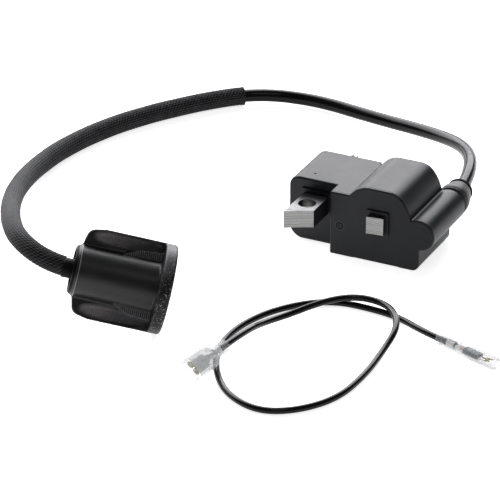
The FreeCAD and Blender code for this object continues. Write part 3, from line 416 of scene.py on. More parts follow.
for node, key in {
        "coil_housing": "housing", "potting_resin": "resin", "tab_boss": "resin", "laminated_core": "core",
        "core_rivets": "rivet", "primary_bobbin": "bobbin", "secondary_bobbin": "bobbin", "charge_bobbin": "bobbin",
        "primary_winding": "copper", "secondary_winding": "copper", "charge_winding": "copper",
        "circuit_board": "board", "discharge_capacitor": "cap", "thyristor": "chip", "diodes": "chip",
        "chip_resistors": "chip", "earth_strap": "tin", "kill_tab": "tab", "hv_contact_spike": "tin", "hv_link": "tin",
        "hv_grommet": "grommet", "grommet_lip": "lip", "hv_lead": "lead", "braided_sleeve": "lead", "kill_wire": "kill",
        "boot_shell": "boot", "boot_terminal_spring": "spring", "boot_contact_pin": "tin",
        "kill_terminal_wide": "tin", "kill_terminal_narrow": "tin", "kill_sleeve_wide": "clear",
        "kill_sleeve_narrow": "clear"}.items():
    paint(node, M[key])


# ------------------------------------------------------------------- cords
LEAD = [(23.9, 7.7, 14.4), (23.6, 24.5, 14.4), (17.7, 50.0, 14.1), (6.5, 68.1, 11.4), (-12.3, 81.6, 7.0),
        (-39.7, 91.6, 3.4), (-69.0, 97.8, 3.0), (-92.8, 90.9, 3.8), (-112.2, 68.6, 3.8), (-127.8, 42.5, 3.7),
        (-135.6, 14.9, 3.8), (-135.2, -10.7, 5.0), (-128.2, -34.2, 9.4), (-118.0, -56.0, 15.6),
        (-107.6, -74.7, 22.2), (-98.6, -89.7, 27.0), (-91.0, -100.0, 28.8), (-83.8, -105.4, 28.2),
        (-75.9, -107.5, 26.2),
        (-67.4, -106.6, 24.0), (-60.0, -103.0, 22.0)]
KILL = [(59.5, -63.4, 2.6), (46.3, -59.2, 2.6), (32.3, -50.6, 1.3), (20.9, -48.9, 1.2), (8.2, -49.2, 1.2),
        (-2.4, -56.2, 1.2), (-11.4, -69.3, 1.2), (-15.3, -85.8, 1.2), (-13.2, -100.7, 1.2), (-6.5, -114.4, 1.2),
        (3.5, -125.8, 1.2), (17.2, -131.1, 1.2), (28.7, -125.0, 1.2), (37.3, -111.8, 1.2), (38.9, -93.3, 1.2),
        (37.7, -75.0, 1.6), (37.4, -63.0, 4.1), (32.1, -53.2, 4.4), (25.4, -48.0, 3.9), (17.6, -47.2, 3.9),
        (11.1, -50.9, 4.2), (4.9, -58.0, 3.9), (-2.1, -65.9, 1.7), (-6.8, -76.7, 2.6), (-6.66, -91.6, 6.5),
        (-8.76, -107.45, 6.5)]


def nurbs(name, pts, radius, mat):
    cu = bpy.data.curves.new(name, "CURVE")
    cu.dimensions = "3D"
    sp = cu.splines.new("NURBS")
    sp.points.add(len(pts) - 1)
    for p, c in zip(sp.points, pts):
        p.co = (c[0] * MM, c[1] * MM, c[2] * MM, 1)
    sp.order_u = 3
    sp.use_endpoint_u = True
    sp.resolution_u = 14
    cu.bevel_depth = radius
    cu.bevel_resolution = 8
    cu.use_fill_caps = True
    cu.materials.append(mat)
    return link(bpy.data.objects.new(name, cu))


def spline_points(curve):
    """Points along a curve's own spline, with no bevel."""
    data = curve.data.copy()
    data.bevel_depth = 0.0
    data.use_fill_caps = False
    tmp = bpy.data.objects.new("tmp_route", data)
    scene.collection.objects.link(tmp)
    bpy.context.view_layer.update()
    me = bpy.data.meshes.new_from_object(tmp)
    pts = [v.co.copy() for v in me.vertices]
    bpy.data.objects.remove(tmp)
    bpy.data.curves.remove(data)
    bpy.data.meshes.remove(me)
    return pts


def resample(pts, step, s0=None, s1=None):
    """Even points along a polyline between two lengths."""
    L = [0.0]
    for a, b in zip(pts, pts[1:]):
        L.append(L[-1] + (b - a).length)
    s0 = 0.0 if s0 is None else s0
    s1 = L[-1] if s1 is None else s1
    n = max(2, int(round((s1 - s0) / step)))
    out, k = [], 0
    for i in range(n + 1):
        s = s0 + (s1 - s0) * i / n
        while k < len(L) - 2 and L[k + 1] < s:
            k += 1
        t = (s - L[k]) / max(1e-12, L[k + 1] - L[k])
        out.append(pts[k].lerp(pts[k + 1], t))
    return out, L[-1]


def frames(pts):
    """Parallel-transport frames along the points."""
    tan = []
    for i in range(len(pts)):
        a, b = pts[max(0, i - 1)], pts[min(len(pts) - 1, i + 1)]
        tan.append((b - a).normalized())
    u = Vector((0, 0, 1)).cross(tan[0]).normalized()
    out = []
    for i, t in enumerate(tan):
        if i:
            ax = tan[i - 1].cross(t)
            if ax.length > 1e-9:
                u = Quaternion(ax.normalized(), tan[i - 1].angle(t)) @ u
        u = (u - t * u.dot(t)).normalized()
        out.append((t, u, t.cross(u)))
    return out


lead = nurbs("spark_plug_lead", LEAD, 0.0025, M["lead"])
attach(lead, "root")
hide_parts("hv_lead")
kill = nurbs("short_circuit_wire", KILL, 0.00115, M["kill"])
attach(kill, "root")
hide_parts("kill_wire")


# ------------------------------------------------------------------ shapes
def revolve(name, profile, mat, matrix=None, seg=96, closed=True):
    """A turned shape: (radius, height) pairs in mm round local Z."""
    V, F = [], []
    n = len(profile)
    for k in range(seg):
        a = 2 * math.pi * k / seg
        for r, z in profile:
            V.append((r * math.cos(a) * MM, r * math.sin(a) * MM, z * MM))
    for k in range(seg):
        k2 = (k + 1) % seg
        for i in range(n if closed else n - 1):
            j = (i + 1) % n
            F.append((k * n + i, k2 * n + i, k2 * n + j, k * n + j))
    o = mesh_obj(name, V, F)
    if matrix is not None:
        o.matrix_world = matrix
    give(o, mat)
    return o


def skin(name, pts, radius, nseg, mat, twist=None, floor_z=None, lid=None):
    """A tube mesh along points; radius(s_mm, turn) in mm, turn 0..1.  lid closes
    the two ends down to an inner radius.  Keeps length and turn as attributes."""
    fr = frames(pts)
    V, F, S, T = [], [], [], []
    L = 0.0
    for i, p in enumerate(pts):
        if i:
            L += (p - pts[i - 1]).length / MM
        t, u, w = fr[i]
        for k in range(nseg):
            a = 2 * math.pi * k / nseg
            r = radius(L, k / nseg) * MM
            q = p + (u * math.cos(a) + w * math.sin(a)) * r
            if floor_z is not None and q.z < floor_z:
                q.z = floor_z
            V.append(q)
            S.append(L)
            T.append(k / nseg)
    for i in range(len(pts) - 1):
        for k in range(nseg):
            k2 = (k + 1) % nseg
            F.append((i * nseg + k, i * nseg + k2, (i + 1) * nseg + k2, (i + 1) * nseg + k))
    if lid is not None:
        for i, flip in ((0, True), (len(pts) - 1, False)):
            t, u, w = fr[i]
            base = len(V)
            for k in range(nseg):
                a = 2 * math.pi * k / nseg
                V.append(pts[i] + (u * math.cos(a) + w * math.sin(a)) * lid * MM)
                S.append(S[i * nseg])
                T.append(k / nseg)
            for k in range(nseg):
                k2 = (k + 1) % nseg
                f = (i * nseg + k, i * nseg + k2, base + k2, base + k)
                F.append(f[::-1] if flip is False else f)
    o = mesh_obj(name, V, F)
    for nm, vals in (("along", S), ("turn", T)):
        at = o.data.attributes.new(nm, "FLOAT", "POINT")
        at.data.foreach_set("value", vals)
    bm = bmesh.new()
    bm.from_mesh(o.data)
    bmesh.ops.recalc_face_normals(bm, faces=bm.faces)
    bm.to_mesh(o.data)
    bm.free()
    o.data.polygons.foreach_set("use_smooth", [True] * len(o.data.polygons))
    give(o, mat)
    return o


def apply_all(o):
    """Replace an object's mesh with its evaluated one."""
    bpy.context.view_layer.update()
    dg = bpy.context.evaluated_depsgraph_get()
    me = bpy.data.meshes.new_from_object(o.evaluated_get(dg))
    o.modifiers.clear()
    o.data = me
    return o


def from_node(name, node, matrix=None):
    """A copy of a CAD node's mesh as a new object, in a local frame if given."""
    me = N[node].data.copy()
    o = link(bpy.data.objects.new(name, me))
    if matrix is not None:
        me.transform(matrix.inverted())
        o.matrix_world = matrix
    bm = bmesh.new()
    bm.from_mesh(me)
    bmesh.ops.remove_doubles(bm, verts=bm.verts, dist=2e-6)
    bmesh.ops.recalc_face_normals(bm, faces=bm.faces)
    bm.to_mesh(me)
    bm.free()
    return o


def smoothstep(x):
    x = np.clip(x, 0, 1)
    return x * x * (3 - 2 * x)


def attr_out(k, name):
    nd = k.n("ShaderNodeAttribute", attribute_name=name)
    return nd.outputs["Fac"]


# --------------------------------------------------------- braided sleeve
route = spline_points(lead)
even, total = resample(route, 0.0002)
acc, s_on = 0.0, None
for q0, q1 in zip(even, even[1:]):
    acc += (q1 - q0).length
    if s_on is None and q1.x < -0.0946 and q1.y > 0:
        s_on = acc
s_off = total - 0.0095
step = 0.00022
bpts, _ = resample(route, step, s_on, s_off)
BL = (s_off - s_on) / MM
ROWS, PITCH = 26, 1.4


def braid_shape(L, turn):
    a = turn * ROWS
    row = math.floor(a + 1e-6)
    f = a - row
    g = (L / PITCH + 0.5 * (row % 2) + 1.1 * (f - 0.5)) % 1.0
    h = (max(0.0, math.sin(math.pi * f)) ** 0.7) * (max(0.0, math.sin(math.pi * g)) ** 0.8)
    t = L / BL
    base = 3.48 + 0.30 * math.exp(-((t - 0.38) / 0.24) ** 2) + 0.02 * math.sin(L * 0.35 + 5 * turn)
    fray = 0.10 * math.exp(-L / 0.8)
    return base - 0.16 + 0.22 * h + fray


def braid_material():
    k = Mat("braided_polyester")
    al, tu = attr_out(k, "along"), attr_out(k, "turn")
    a = k.math("MULTIPLY", tu, float(ROWS))
    row = k.math("FLOOR", k.math("ADD", a, 0.00001))
    f = k.math("SUBTRACT", a, row)
    par = k.math("MULTIPLY", k.math("MODULO", row, 2.0), 0.5)
    g = k.math("FRACT", k.math("ADD", k.math("ADD", k.math("DIVIDE", al, PITCH), par),
                               k.math("MULTIPLY", k.math("SUBTRACT", f, 0.5), 1.1)))
    sf = k.math("SINE", k.math("MULTIPLY", f, math.pi))
    sg = k.math("SINE", k.math("MULTIPLY", g, math.pi))
    h = k.math("MULTIPLY", k.math("ABSOLUTE", sf), k.math("ABSOLUTE", sg))
    co = k.coords()
    broad = k.noise(co, 0.35, 3, 0.5)
    crest = k.ramp(broad, [(0.3, (0.028, 0.028, 0.030)), (0.7, (0.066, 0.066, 0.070))])
    col = k.mix(k.maprange(h, 0.30, 0.85, 0.0, 1.0), (0.0010, 0.0010, 0.0012), crest)
    k.color(col)
    # three filaments side by side in each strand
    fil = k.math("ABSOLUTE", k.math("SINE", k.math("MULTIPLY", f, math.pi * 4)))
    k.rough(k.maprange(k.math("ADD", k.math("MULTIPLY", fil, 0.4), k.math("MULTIPLY", k.noise(co, 4.0, 3, 0.6), 0.6)),
                       0.2, 0.9, 0.42, 0.62))
    k.bump(k.math("ADD", h, k.math("MULTIPLY", fil, 0.25)), 0.8, 0.00010)
    k.set(Specular_IOR_Level=0.12)
    return k.m


M["braid"] = braid_material()
braid = skin("braided_sleeve_weave", bpts, braid_shape, ROWS * 4, M["braid"], floor_z=0.00004, lid=2.55)
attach(braid, "root")
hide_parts("braided_sleeve")

# ------------------------------------------------------------ lead grommet
s_g, acc = None, 0.0
for q0, q1 in zip(even, even[1:]):
    acc += (q1 - q0).length
    if s_g is None and q1.y > 0.0140:
        s_g = acc
G0 = 0.4                                    # starts inside the tower's mouth
GP = [(0, 4.9), (1.75, 4.9), (1.8, 5.7), (2.0, 5.95), (2.35, 5.95), (2.5, 5.65), (2.65, 5.65), (2.8, 5.95),
      (3.15, 5.95), (3.3, 5.68), (3.45, 5.68), (3.6, 5.92), (4.6, 5.95), (6.0, 5.78), (8.0, 5.35), (10.0, 4.85),
      (11.3, 4.5), (11.6, 4.2)]


def profile_r(P, L):
    for (a, ra), (b, rb) in zip(P, P[1:]):
        if L <= b:
            t = (L - a) / max(1e-9, b - a)
            return ra + (rb - ra) * t
    return P[-1][1]


gpts, _ = resample(route, 0.0001, s_g - G0 * MM, s_g + 11.6 * MM)
grommet = skin("lead_grommet", gpts, lambda L, t: profile_r(GP, L), 96, M["grommet"], lid=2.45)
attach(grommet, "root")
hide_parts("hv_grommet")
LP = [(0, 4.3), (0.12, 4.62), (0.3, 4.75), (0.75, 4.75), (0.95, 4.55), (1.05, 4.2)]
lpts, _ = resample(route, 0.00005, s_g + 11.45 * MM, s_g + 12.5 * MM)
lip = skin("grommet_rim", lpts, lambda L, t: profile_r(LP, L), 96, M["lip"], lid=2.45)
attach(lip, "root")
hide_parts("grommet_lip")

# ------------------------------------------------------------ plug boot
AXV = v3(0.875, 0.421, -0.240).normalized()
WV = v3(0.0018, 0.4922, 0.870)
WV = (WV - AXV * WV.dot(AXV)).normalized()
YV = AXV.cross(WV)
BOOT = Matrix((WV, YV, AXV)).transposed().to_4x4()
BOOT.translation = v3(-64.3, -105.1, 23.15) * MM


def boot_material():
    """Black rubber, in the boot's own frame: matt grained hollows in the wings,
    lighter towards the entry (painted highlight) and darker towards the flange (painted shade),
    fine ribs on the root webs with painted highlights on their crests, speckled flange,
    a painted highlight on the upward-facing rim, painted shade in the dished entry, smooth barrel."""
    k = Mat("boot_rubber_moulded")
    co = k.coords()
    broad = k.noise(co, 0.14, 4, 0.55)
    grain = k.noise(co, 3.2, 3, 0.65)
    speck = k.noise(co, 2.2, 2, 0.5)
    scoop, web, band = attr_out(k, "scoop"), attr_out(k, "web"), attr_out(k, "band")
    base = k.ramp(broad, [(0.3, (0.0024, 0.0025, 0.0030)), (0.7, (0.0046, 0.0048, 0.0056))])
    ztc = k.n("ShaderNodeTexCoord")
    sep = k.n("ShaderNodeSeparateXYZ")
    k.link(ztc.outputs["Object"], sep.inputs[0])
    # the hollows' grained colour carries painted light: lighter towards the entry (painted highlight), darker towards
    # the flange (painted shade)
    grain_and_painted_highlight = k.ramp(k.math("ADD", k.math("MULTIPLY", broad, 0.4), k.math("MULTIPLY", grain, 0.6)),
                   [(0.34, (0.056, 0.051, 0.053)), (0.64, (0.190, 0.175, 0.178))])
    grain_and_painted_shade = k.ramp(k.math("ADD", k.math("MULTIPLY", broad, 0.4), k.math("MULTIPLY", grain, 0.6)),
                  [(0.34, (0.016, 0.015, 0.017)), (0.64, (0.066, 0.062, 0.067))])
    along = k.maprange(k.math("ADD", sep.outputs["Z"], k.math("MULTIPLY", broad, 0.006)), 0.010, 0.020, 1.0, 0.0)
    col = k.mix(scoop, base, k.mix(along, grain_and_painted_shade, grain_and_painted_highlight))
    # painted highlight on the root webs' rib crests, dark between them
    rib = k.math("ABSOLUTE", k.math("SINE", k.math("MULTIPLY", sep.outputs["Z"], math.pi * 1000 / 0.72)))
    rib_painted_highlight = k.mix(k.maprange(rib, 0.55, 0.95, 0.0, 1.0), (0.005, 0.005, 0.0056), (0.115, 0.115, 0.122))
    col = k.mix(k.math("MULTIPLY", web, 0.70), col, rib_painted_highlight)
    fleck = k.maprange(speck, 0.61, 0.67, 0.0, 1.0)
    col = k.mix(k.math("MULTIPLY", k.math("MULTIPLY", band, fleck), 0.9), col, (0.30, 0.30, 0.305))
    geo = k.n("ShaderNodeNewGeometry")
    gz = k.n("ShaderNodeSeparateXYZ")
    k.link(geo.outputs["Normal"], gz.inputs[0])
    # painted highlight: rim and flange band lighter where they face up
    up = k.maprange(k.math("ADD", gz.outputs["Z"], k.math("MULTIPLY", k.math("SUBTRACT", grain, 0.5), 0.5)), 0.60, 0.95, 0.0, 1.0)
    col = k.mix(k.math("MULTIPLY", k.math("MAXIMUM", attr_out(k, "rim_highlight"), k.math("MULTIPLY", band, 0.5)), up), col, (0.200, 0.200, 0.206))
    # painted shade: the dished entry darkened
    col = k.mix(attr_out(k, "dish"), col, (0.0012, 0.0012, 0.0014))
    k.color(col)
    mask = k.math("MAXIMUM", scoop, k.math("MAXIMUM", web, k.math("MULTIPLY", band, 0.3)))
    rr = k.math("ADD", k.maprange(broad, 0.3, 0.7, 0.36, 0.44), k.math("MULTIPLY", mask, 0.18))
    k.rough(k.math("ADD", rr, k.maprange(grain, 0.3, 0.7, -0.03, 0.03)))
    amp = k.math("ADD", k.math("MULTIPLY", mask, 0.9), 0.12)
    h = k.math("ADD", k.math("MULTIPLY", grain, amp), k.math("MULTIPLY", k.math("MULTIPLY", rib, web), 0.9))
    k.bump(h, 0.6, 0.00012)
    k.link(k.maprange(k.math("MAXIMUM", attr_out(k, "dish"), k.math("MULTIPLY", band, 0.4)), 0.0, 1.0, 0.36, 0.05),
           k.b.inputs["Specular IOR Level"])
    return k.m


M["bootd"] = boot_material()


def rounded_box_field(x, z, x0, x1, z0, z1):
    return np.minimum(np.minimum(x - x0, x1 - x), np.minimum(z - z0, z1 - z))


boot = from_node("spark_plug_boot", "boot_shell", BOOT)
md = boot.modifiers.new("voxels", "REMESH")
md.mode = "VOXEL"
md.voxel_size = 0.00034
md = boot.modifiers.new("soften", "SMOOTH")
md.factor = 0.5
md.iterations = 4
apply_all(boot)
nv = len(boot.data.vertices)
co = np.empty(nv * 3, np.float32)
boot.data.vertices.foreach_get("co", co)
co = co.reshape(-1, 3) * 1000.0
X, Y, Z = co[:, 0].copy(), co[:, 1].copy(), co[:, 2].copy()
ax_, ay_ = np.abs(X), np.abs(Y)
R = np.hypot(X, Y)
inside = R < 8.4
u = (ax_ - 12.75) / 2.75
v = (Z - 15.2) / 12.4
q = 1.0 - (np.abs(u) ** 2.6 + np.abs(v) ** 3.2)
sc = smoothstep(q / 0.75)
sc[(ay_ > 2.7) | (ay_ < 0.5) | inside] = 0.0
Y -= np.sign(Y) * 1.15 * sc
web = smoothstep((ay_ - 2.7) / 0.7) * smoothstep((ax_ - 8.7) / 0.3) * (Z > 11.0) * (Z < 27.6) * (~inside)
band = smoothstep((Z - 27.7) / 0.3) * (R > 9.5)
# dished end round the lead, inside the entry lip
dish = smoothstep((7.5 - R) / 0.45) * smoothstep((1.2 - Z) / 2.4)
Z += 2.3 * dish
rim_highlight_zone = smoothstep((Z - 31.2) / 0.9) * (R > 9.5)
# slight waist in the barrel and a soft swell towards the entry, as moulded rubber has
outer = (R > 8.6) & (ay_ > 2.4) & (Z < 27.0) & (web < 0.1)
k_ = 1.0 + 0.006 * np.cos(Z / 28.0 * 2 * math.pi)
X[outer] *= k_[outer]
Y[outer] *= k_[outer]
co[:, 0], co[:, 1], co[:, 2] = X, Y, Z
boot.data.vertices.foreach_set("co", (co / 1000.0).astype(np.float32).ravel())
# the dish mask spreads over the whole entry face here for the painted shade
dish = np.maximum(dish, smoothstep((8.8 - R) / 0.2) * smoothstep((0.9 - Z) / 0.3) * (R > 5.0))
for nm, vals in (("scoop", sc), ("web", web), ("band", band), ("rim_highlight", rim_highlight_zone), ("dish", dish)):
    at = boot.data.attributes.new(nm, "FLOAT", "POINT")
    at.data.foreach_set("value", vals.astype(np.float32))
boot.data.polygons.foreach_set("use_smooth", [True] * len(boot.data.polygons))
boot.data.update()
give(boot, M["bootd"])
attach(boot, "root")
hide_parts("boot_shell")

# the entry flash ridge is coloured light grey: a painted highlight along it
M["ridge"] = plastic("boot_flash_painted_highlight", (0.060, 0.060, 0.063), (0.160, 0.160, 0.165), 0.26, 0.40, 1.2, 0.1)
ridge = revolve("boot_entry_flash", [(9.02 + 0.26 * math.cos(t), 0.28 + 0.20 * math.sin(t))
                                     for t in [2 * math.pi * i / 10 for i in range(10)]], M["ridge"], BOOT, 120)
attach(ridge, "root")
# neck rubber darker than the boot: painted shade inside the entry hollow
M["neck"] = plastic("boot_neck_painted_shade", (0.0010, 0.0010, 0.0012), (0.0020, 0.0020, 0.0024), 0.5, 0.62, 2.4, 0.2, 0.10)
neck = revolve("boot_entry_neck", [(2.45, 1.4), (4.3, 1.4), (3.75, 0.6), (3.5, -0.4), (3.42, -2.6), (3.45, -4.6),
                                   (3.3, -4.95), (2.9, -5.05), (2.45, -5.0)], M["neck"], BOOT, 96)
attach(neck, "root")


# ------------------------------------------------- terminals and their sleeves
def terminal_metal(name, c0, c1, tip=None, metallic=0.55):
    """Tinned sheet: bright, a little cloudy, with draw marks along the strip."""
    k = Mat(name)
    co = k.coords((400, 2600, 2600))
    br = k.noise(co, 1.0, 4, 0.6)
    cloud = k.noise(k.coords(), 0.9, 3, 0.6)
    col = k.ramp(k.math("ADD", k.math("MULTIPLY", br, 0.4), k.math("MULTIPLY", cloud, 0.6)), [(0.32, c0), (0.66, c1)])
    if tip is not None:
        tc = k.n("ShaderNodeTexCoord")
        sp = k.n("ShaderNodeSeparateXYZ")
        k.link(tc.outputs["Object"], sp.inputs[0])
        at = k.maprange(k.math("ADD", sp.outputs["X"], k.math("MULTIPLY", cloud, 0.0006)), tip[0], tip[1], 1.0, 0.0)
        col = k.mix(at, col, tip[2])
    k.color(col)
    k.rough(k.maprange(br, 0.3, 0.7, 0.30, 0.46))
    k.bump(br, 0.25, 0.00004)
    k.set(Metallic=metallic, Specular_IOR_Level=0.5)
    return k.m


M["tint"] = terminal_metal("tinned_sheet", (0.88, 0.88, 0.87), (0.97, 0.97, 0.96), None, 0.0)
M["edge"] = terminal_metal("brass_edge", (0.12, 0.095, 0.045), (0.30, 0.25, 0.13))
M["blue"] = terminal_metal("tempered_box", (0.030, 0.037, 0.048), (0.060, 0.069, 0.084))
M["tongue"] = terminal_metal("tinned_tongue", (0.50, 0.48, 0.44), (0.72, 0.70, 0.65), (0.0048, 0.0060, (0.30, 0.24, 0.07)))
M["strand"] = metal("bare_strands", (0.55, 0.36, 0.30), (0.74, 0.58, 0.50), 0.25, 0.4, (500, 3500, 3500), 0.5)


def resampled(poly, n):
    P = [Vector((a, b)) for a, b in poly]
    L = [0.0]
    for q0, q1 in zip(P, P[1:]):
        L.append(L[-1] + (q1 - q0).length)
    out, i = [], 0
    for k in range(n):
        t = L[-1] * k / (n - 1)
        while i < len(L) - 2 and L[i + 1] < t:
            i += 1
        w = (t - L[i]) / max(1e-9, L[i + 1] - L[i])
        out.append(P[i].lerp(P[i + 1], w))
    # soften the corners
    for _ in range(2):
        out = [out[0]] + [(out[j - 1] + out[j] * 2 + out[j + 1]) / 4 for j in range(1, n - 1)] + [out[-1]]
    return out


def mirrored(half):
    """A profile given for y < 0, carried over to y > 0 in reverse."""
    return half + [(-a, b) for a, b in reversed(half) if abs(a) > 1e-6]


def ribbon(name, secs, thick, mat, matrix, edge=None, n=41):
    """Bent sheet metal: one strip swept through cross-sections (x, profile)."""
    V, F, mi = [], [], []
    for x, prof in secs:
        P = resampled(prof, n)
        nor = []
        for j in range(n):
            t = P[min(j + 1, n - 1)] - P[max(j - 1, 0)]
            t.normalize()
            nor.append(Vector((-t.y, t.x)))
        ring = [P[j] + nor[j] * thick / 2 for j in range(n)] + [P[j] - nor[j] * thick / 2 for j in reversed(range(n))]
        V += [(x * MM, q.x * MM, q.y * MM) for q in ring]
    m = 2 * n
    for i in range(len(secs) - 1):
        for j in range(m):
            k = (j + 1) % m
            F.append((i * m + j, i * m + k, (i + 1) * m + k, (i + 1) * m + j))
            mi.append(1 if j in (n - 1, m - 1) else 0)
    for i, flip in ((0, False), (len(secs) - 1, True)):
        for j in range(n - 1):
            f = (i * m + j, i * m + m - 1 - j, i * m + m - 2 - j, i * m + j + 1)
            F.append(f[::-1] if flip else f)
            mi.append(1)
    o = mesh_obj(name, V, F)
    o.matrix_world = matrix
    bm = bmesh.new()
    bm.from_mesh(o.data)
    bmesh.ops.recalc_face_normals(bm, faces=bm.faces)
    bm.to_mesh(o.data)
    bm.free()
    o.data.materials.clear()
    o.data.materials.append(mat)
    if edge is not None:
        o.data.materials.append(edge)
        o.data.polygons.foreach_set("material_index", mi)
    o.data.set_sharp_from_angle(angle=math.radians(42))
    return o


def rrect(w, h, r, n=72):
    """n points round a rounded rectangle, by share of its perimeter."""
    r = min(r, w / 2 - 1e-4, h / 2 - 1e-4)
    sx, sy, q = w - 2 * r, h - 2 * r, math.pi * r / 2
    runs = [sy / 2, q, sx, q, sy, q, sx, q, sy / 2]
    tot = sum(runs)
    out = []
    for k in range(n):
        t = tot * k / n
        i = 0
        while t > runs[i]:
            t -= runs[i]
            i += 1
        a, c = w / 2, h / 2
        if i == 0:
            p = (a, t)
        elif i == 1:
            g = t / r
            p = (a - r + r * math.cos(g), c - r + r * math.sin(g))
        elif i == 2:
            p = (a - r - t, c)
        elif i == 3:
            g = math.pi / 2 + t / r
            p = (-a + r + r * math.cos(g), c - r + r * math.sin(g))
        elif i == 4:
            p = (-a, c - r - t)
        elif i == 5:
            g = math.pi + t / r
            p = (-a + r + r * math.cos(g), -c + r + r * math.sin(g))
        elif i == 6:
            p = (-a + r + t, -c)
        elif i == 7:
            g = 1.5 * math.pi + t / r
            p = (a - r + r * math.cos(g), -c + r + r * math.sin(g))
        else:
            p = (a, -sy / 2 + t)
        out.append(p)
    return out


def shell(name, rings, mat, matrix):
    """A closed hollow shell through rings (x, w, h, r), out along the outside and
    back along the inside."""
    V, F = [], []
    n = 72
    for x, w, h, r in rings:
        V += [(x * MM, a * MM, b * MM) for a, b in rrect(w, h, r, n)]
    R_ = len(rings)
    for i in range(R_):
        j = (i + 1) % R_
        for k in range(n):
            l_ = (k + 1) % n
            F.append((i * n + k, i * n + l_, j * n + l_, j * n + k))
    o = mesh_obj(name, V, F)
    o.matrix_world = matrix
    bm = bmesh.new()
    bm.from_mesh(o.data)
    bmesh.ops.recalc_face_normals(bm, faces=bm.faces)
    bm.to_mesh(o.data)
    bm.free()
    give(o, mat)
    return o


XW = v3(0.1315, 0.9913, 0.0).normalized()
side = v3(XW.y, -XW.x, 0)
roll = math.radians(38)
YW = -(side * math.cos(roll) - v3(0, 0, 1) * math.sin(roll))
ZW = XW.cross(YW)
FW = Matrix((XW, YW, ZW)).transposed().to_4x4()
FW.translation = v3(-11.0, -124.3, 6.5) * MM

recept = mirrored([(-0.42, 0.10), (-0.46, 0.62), (-0.85, 0.82), (-2.15, 0.80), (-2.58, 0.58), (-2.70, 0.0), (-2.58, -0.52),
                   (-2.2, -0.78), (-1.0, -0.82), (0, -0.82)])
trough = mirrored([(-1.30, 0.55), (-1.42, -0.2), (-1.20, -0.72), (-0.6, -0.84), (0, -0.84)])
trough2 = mirrored([(-0.9, 0.25), (-1.02, -0.3), (-0.85, -0.80), (-0.4, -0.93), (0, -0.93)])
fcrimp = mirrored([(-0.06, -0.05), (-0.16, 0.55), (-0.5, 0.82), (-0.88, 0.62), (-1.02, 0.0), (-0.92, -0.62), (-0.5, -0.94), (0, -0.98)])
strap = mirrored([(-0.72, -0.7), (-0.78, -0.9), (-0.55, -1.12), (0, -1.16)])
RI = 1.34
icrimp = mirrored([(RI * math.sin(math.radians(a)), RI * math.cos(math.radians(a))) for a in range(-8, -181, -12)] )

FT = FW @ Matrix.Rotation(math.pi, 4, "X")
term_w = ribbon("receptacle_terminal", [
    (1.6, recept), (1.75, recept), (7.7, recept), (8.1, recept), (8.7, trough), (9.9, trough), (10.25, trough2), (10.4, fcrimp),
    (11.0, fcrimp), (12.7, fcrimp), (13.2, fcrimp), (13.35, strap), (13.6, strap), (13.7, icrimp), (14.4, icrimp), (16.2, icrimp),
    (16.8, icrimp)], 0.30, M["tint"], FT, M["edge"])
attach(term_w, "root")
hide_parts("kill_terminal_wide")
strands_w = ribbon("bare_strands_wide", [(x, [(0.62 * math.sin(a) * (1 + 0.06 * math.sin(9 * a + x * 4)), 0.62 * math.cos(a) * (1 + 0.06 * math.sin(9 * a + x * 4)) - 0.12)
                   for a in [2 * math.pi * i / 40 for i in range(41)]]) for x in [9.7 + 0.25 * i for i in range(31)]], 0.12, M["strand"], FT)
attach(strands_w, "root")

sleeve_w = shell("receptacle_sleeve", [
    (0.25, 7.9, 4.7, 1.6), (0.05, 8.15, 4.95, 1.65), (0.12, 8.35, 5.15, 1.7), (0.5, 8.4, 5.2, 1.7), (5.0, 8.36, 5.16, 1.7),
    (10.2, 8.4, 5.2, 1.75), (10.9, 8.2, 5.1, 1.8), (11.6, 7.4, 4.85, 1.9), (12.4, 5.9, 4.55, 2.0), (13.0, 4.7, 4.35, 2.05),
    (13.5, 4.25, 4.25, 2.08), (15.0, 4.15, 4.15, 2.04), (19.8, 4.25, 4.25, 2.08), (20.4, 4.2, 4.2, 2.06), (20.5, 4.0, 4.0, 1.96),
    (20.35, 3.7, 3.7, 1.82), (19.5, 3.5, 3.5, 1.72), (13.6, 3.4, 3.4, 1.66), (12.8, 3.7, 3.5, 1.6), (12.0, 5.2, 3.7, 1.4),
    (11.0, 6.9, 3.9, 1.2), (10.2, 7.3, 4.1, 1.2), (1.2, 7.3, 4.1, 1.2), (0.6, 7.5, 4.3, 1.4)], M["clear"], FW)
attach(sleeve_w, "sleeve_wide")
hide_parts("kill_sleeve_wide")

XN = v3(-0.9494, 0.3141, 0).normalized()
FN = Matrix((XN, v3(-XN.y, XN.x, 0), v3(0, 0, 1))).transposed().to_4x4()
FN.translation = v3(77.6, -69.4, 2.6) * MM


def flat(w, z=0.0, up=0.0):
    return mirrored([(-w, z + up), (-w * 0.6, z), (-w * 0.2, z), (0, z)])


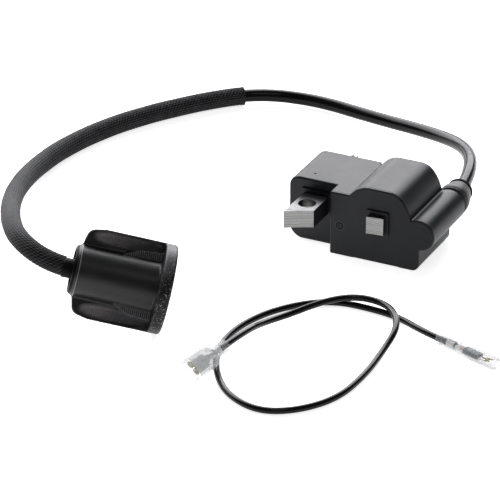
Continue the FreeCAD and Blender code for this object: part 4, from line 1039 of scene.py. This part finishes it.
boxp = mirrored([(-0.12, -0.78), (-1.30, -0.78), (-1.52, -0.60), (-1.55, 0.0), (-1.52, 0.58), (-1.30, 0.78), (0, 0.80)])
term_n = ribbon("tongue_plate", [(4.7, flat(0.95)), (4.85, flat(1.15)), (5.2, flat(1.28, 0.0, 0.12)),
                                 (6.2, flat(1.28, 0.0, 0.12)), (8.2, flat(1.28)), (8.7, flat(1.28))], 0.42, M["tongue"], FN, M["tongue"])
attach(term_n, "root")
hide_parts("kill_terminal_narrow")
for nm, ya, yb, xa, xb in (("fork_left", -0.45, -1.02, 5.4, 3.3), ("fork_right", 0.45, 1.02, 5.4, 3.3), ("fork_stem", 0.0, 0.0, 7.2, 4.9)):
    rows = [(xb + (xa - xb) * t, [(yb + (ya - yb) * t + 0.27 * math.cos(g), 0.20 + 0.24 * math.sin(g)) for g in [math.pi * i / 8 for i in range(9)]])
            for t in [i / 8 for i in range(9)]]
    o = ribbon(nm, rows, 0.10, M["edge"], FN)
    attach(o, "root")
box_n = ribbon("terminal_box", [(8.3, boxp), (8.45, boxp), (14.6, boxp), (14.85, boxp)], 0.26, M["blue"], FN, M["tint"])
crimps_n = ribbon("terminal_crimps", [
    (14.8, trough), (15.6, trough), (16.1, trough2), (16.4, fcrimp), (17.0, fcrimp), (18.3, fcrimp), (18.8, fcrimp), (18.95, strap),
    (19.3, strap), (19.45, icrimp), (20.2, icrimp), (22.0, icrimp), (22.6, icrimp)], 0.28, M["tint"], FN, M["edge"])
strands_n = ribbon("bare_strands_narrow", [(x, [(0.60 * math.sin(a) * (1 + 0.06 * math.sin(9 * a + x * 4)), 0.60 * math.cos(a) * (1 + 0.06 * math.sin(9 * a + x * 4)) - 0.12)
                   for a in [2 * math.pi * i / 40 for i in range(41)]]) for x in [15.6 + 0.25 * i for i in range(15)]], 0.12, M["strand"], FN)
for o, sl in ((box_n, "terminal_tin"), (crimps_n, "terminal_tin"), (strands_n, "enamelled_copper")):
    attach(o, "root")
sleeve_n = shell("tongue_sleeve", [(x, 2 * r, 2 * r, r) for x, r in (
    (0.30, 1.42), (0.10, 1.50), (0.04, 1.62), (0.22, 1.90), (0.62, 2.18), (1.25, 2.36), (2.1, 2.45), (6.0, 2.46), (12.0, 2.44), (17.0, 2.34),
    (21.0, 2.12), (24.0, 2.02), (26.3, 1.98), (26.85, 1.95), (27.0, 1.88), (26.9, 1.76), (26.3, 1.70), (24.0, 1.70), (21.0, 1.76),
    (17.0, 1.92), (12.0, 2.04), (2.2, 2.06), (1.3, 1.95), (0.8, 1.72))], M["clear"], FN)
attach(sleeve_n, "sleeve_narrow")
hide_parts("kill_sleeve_narrow")
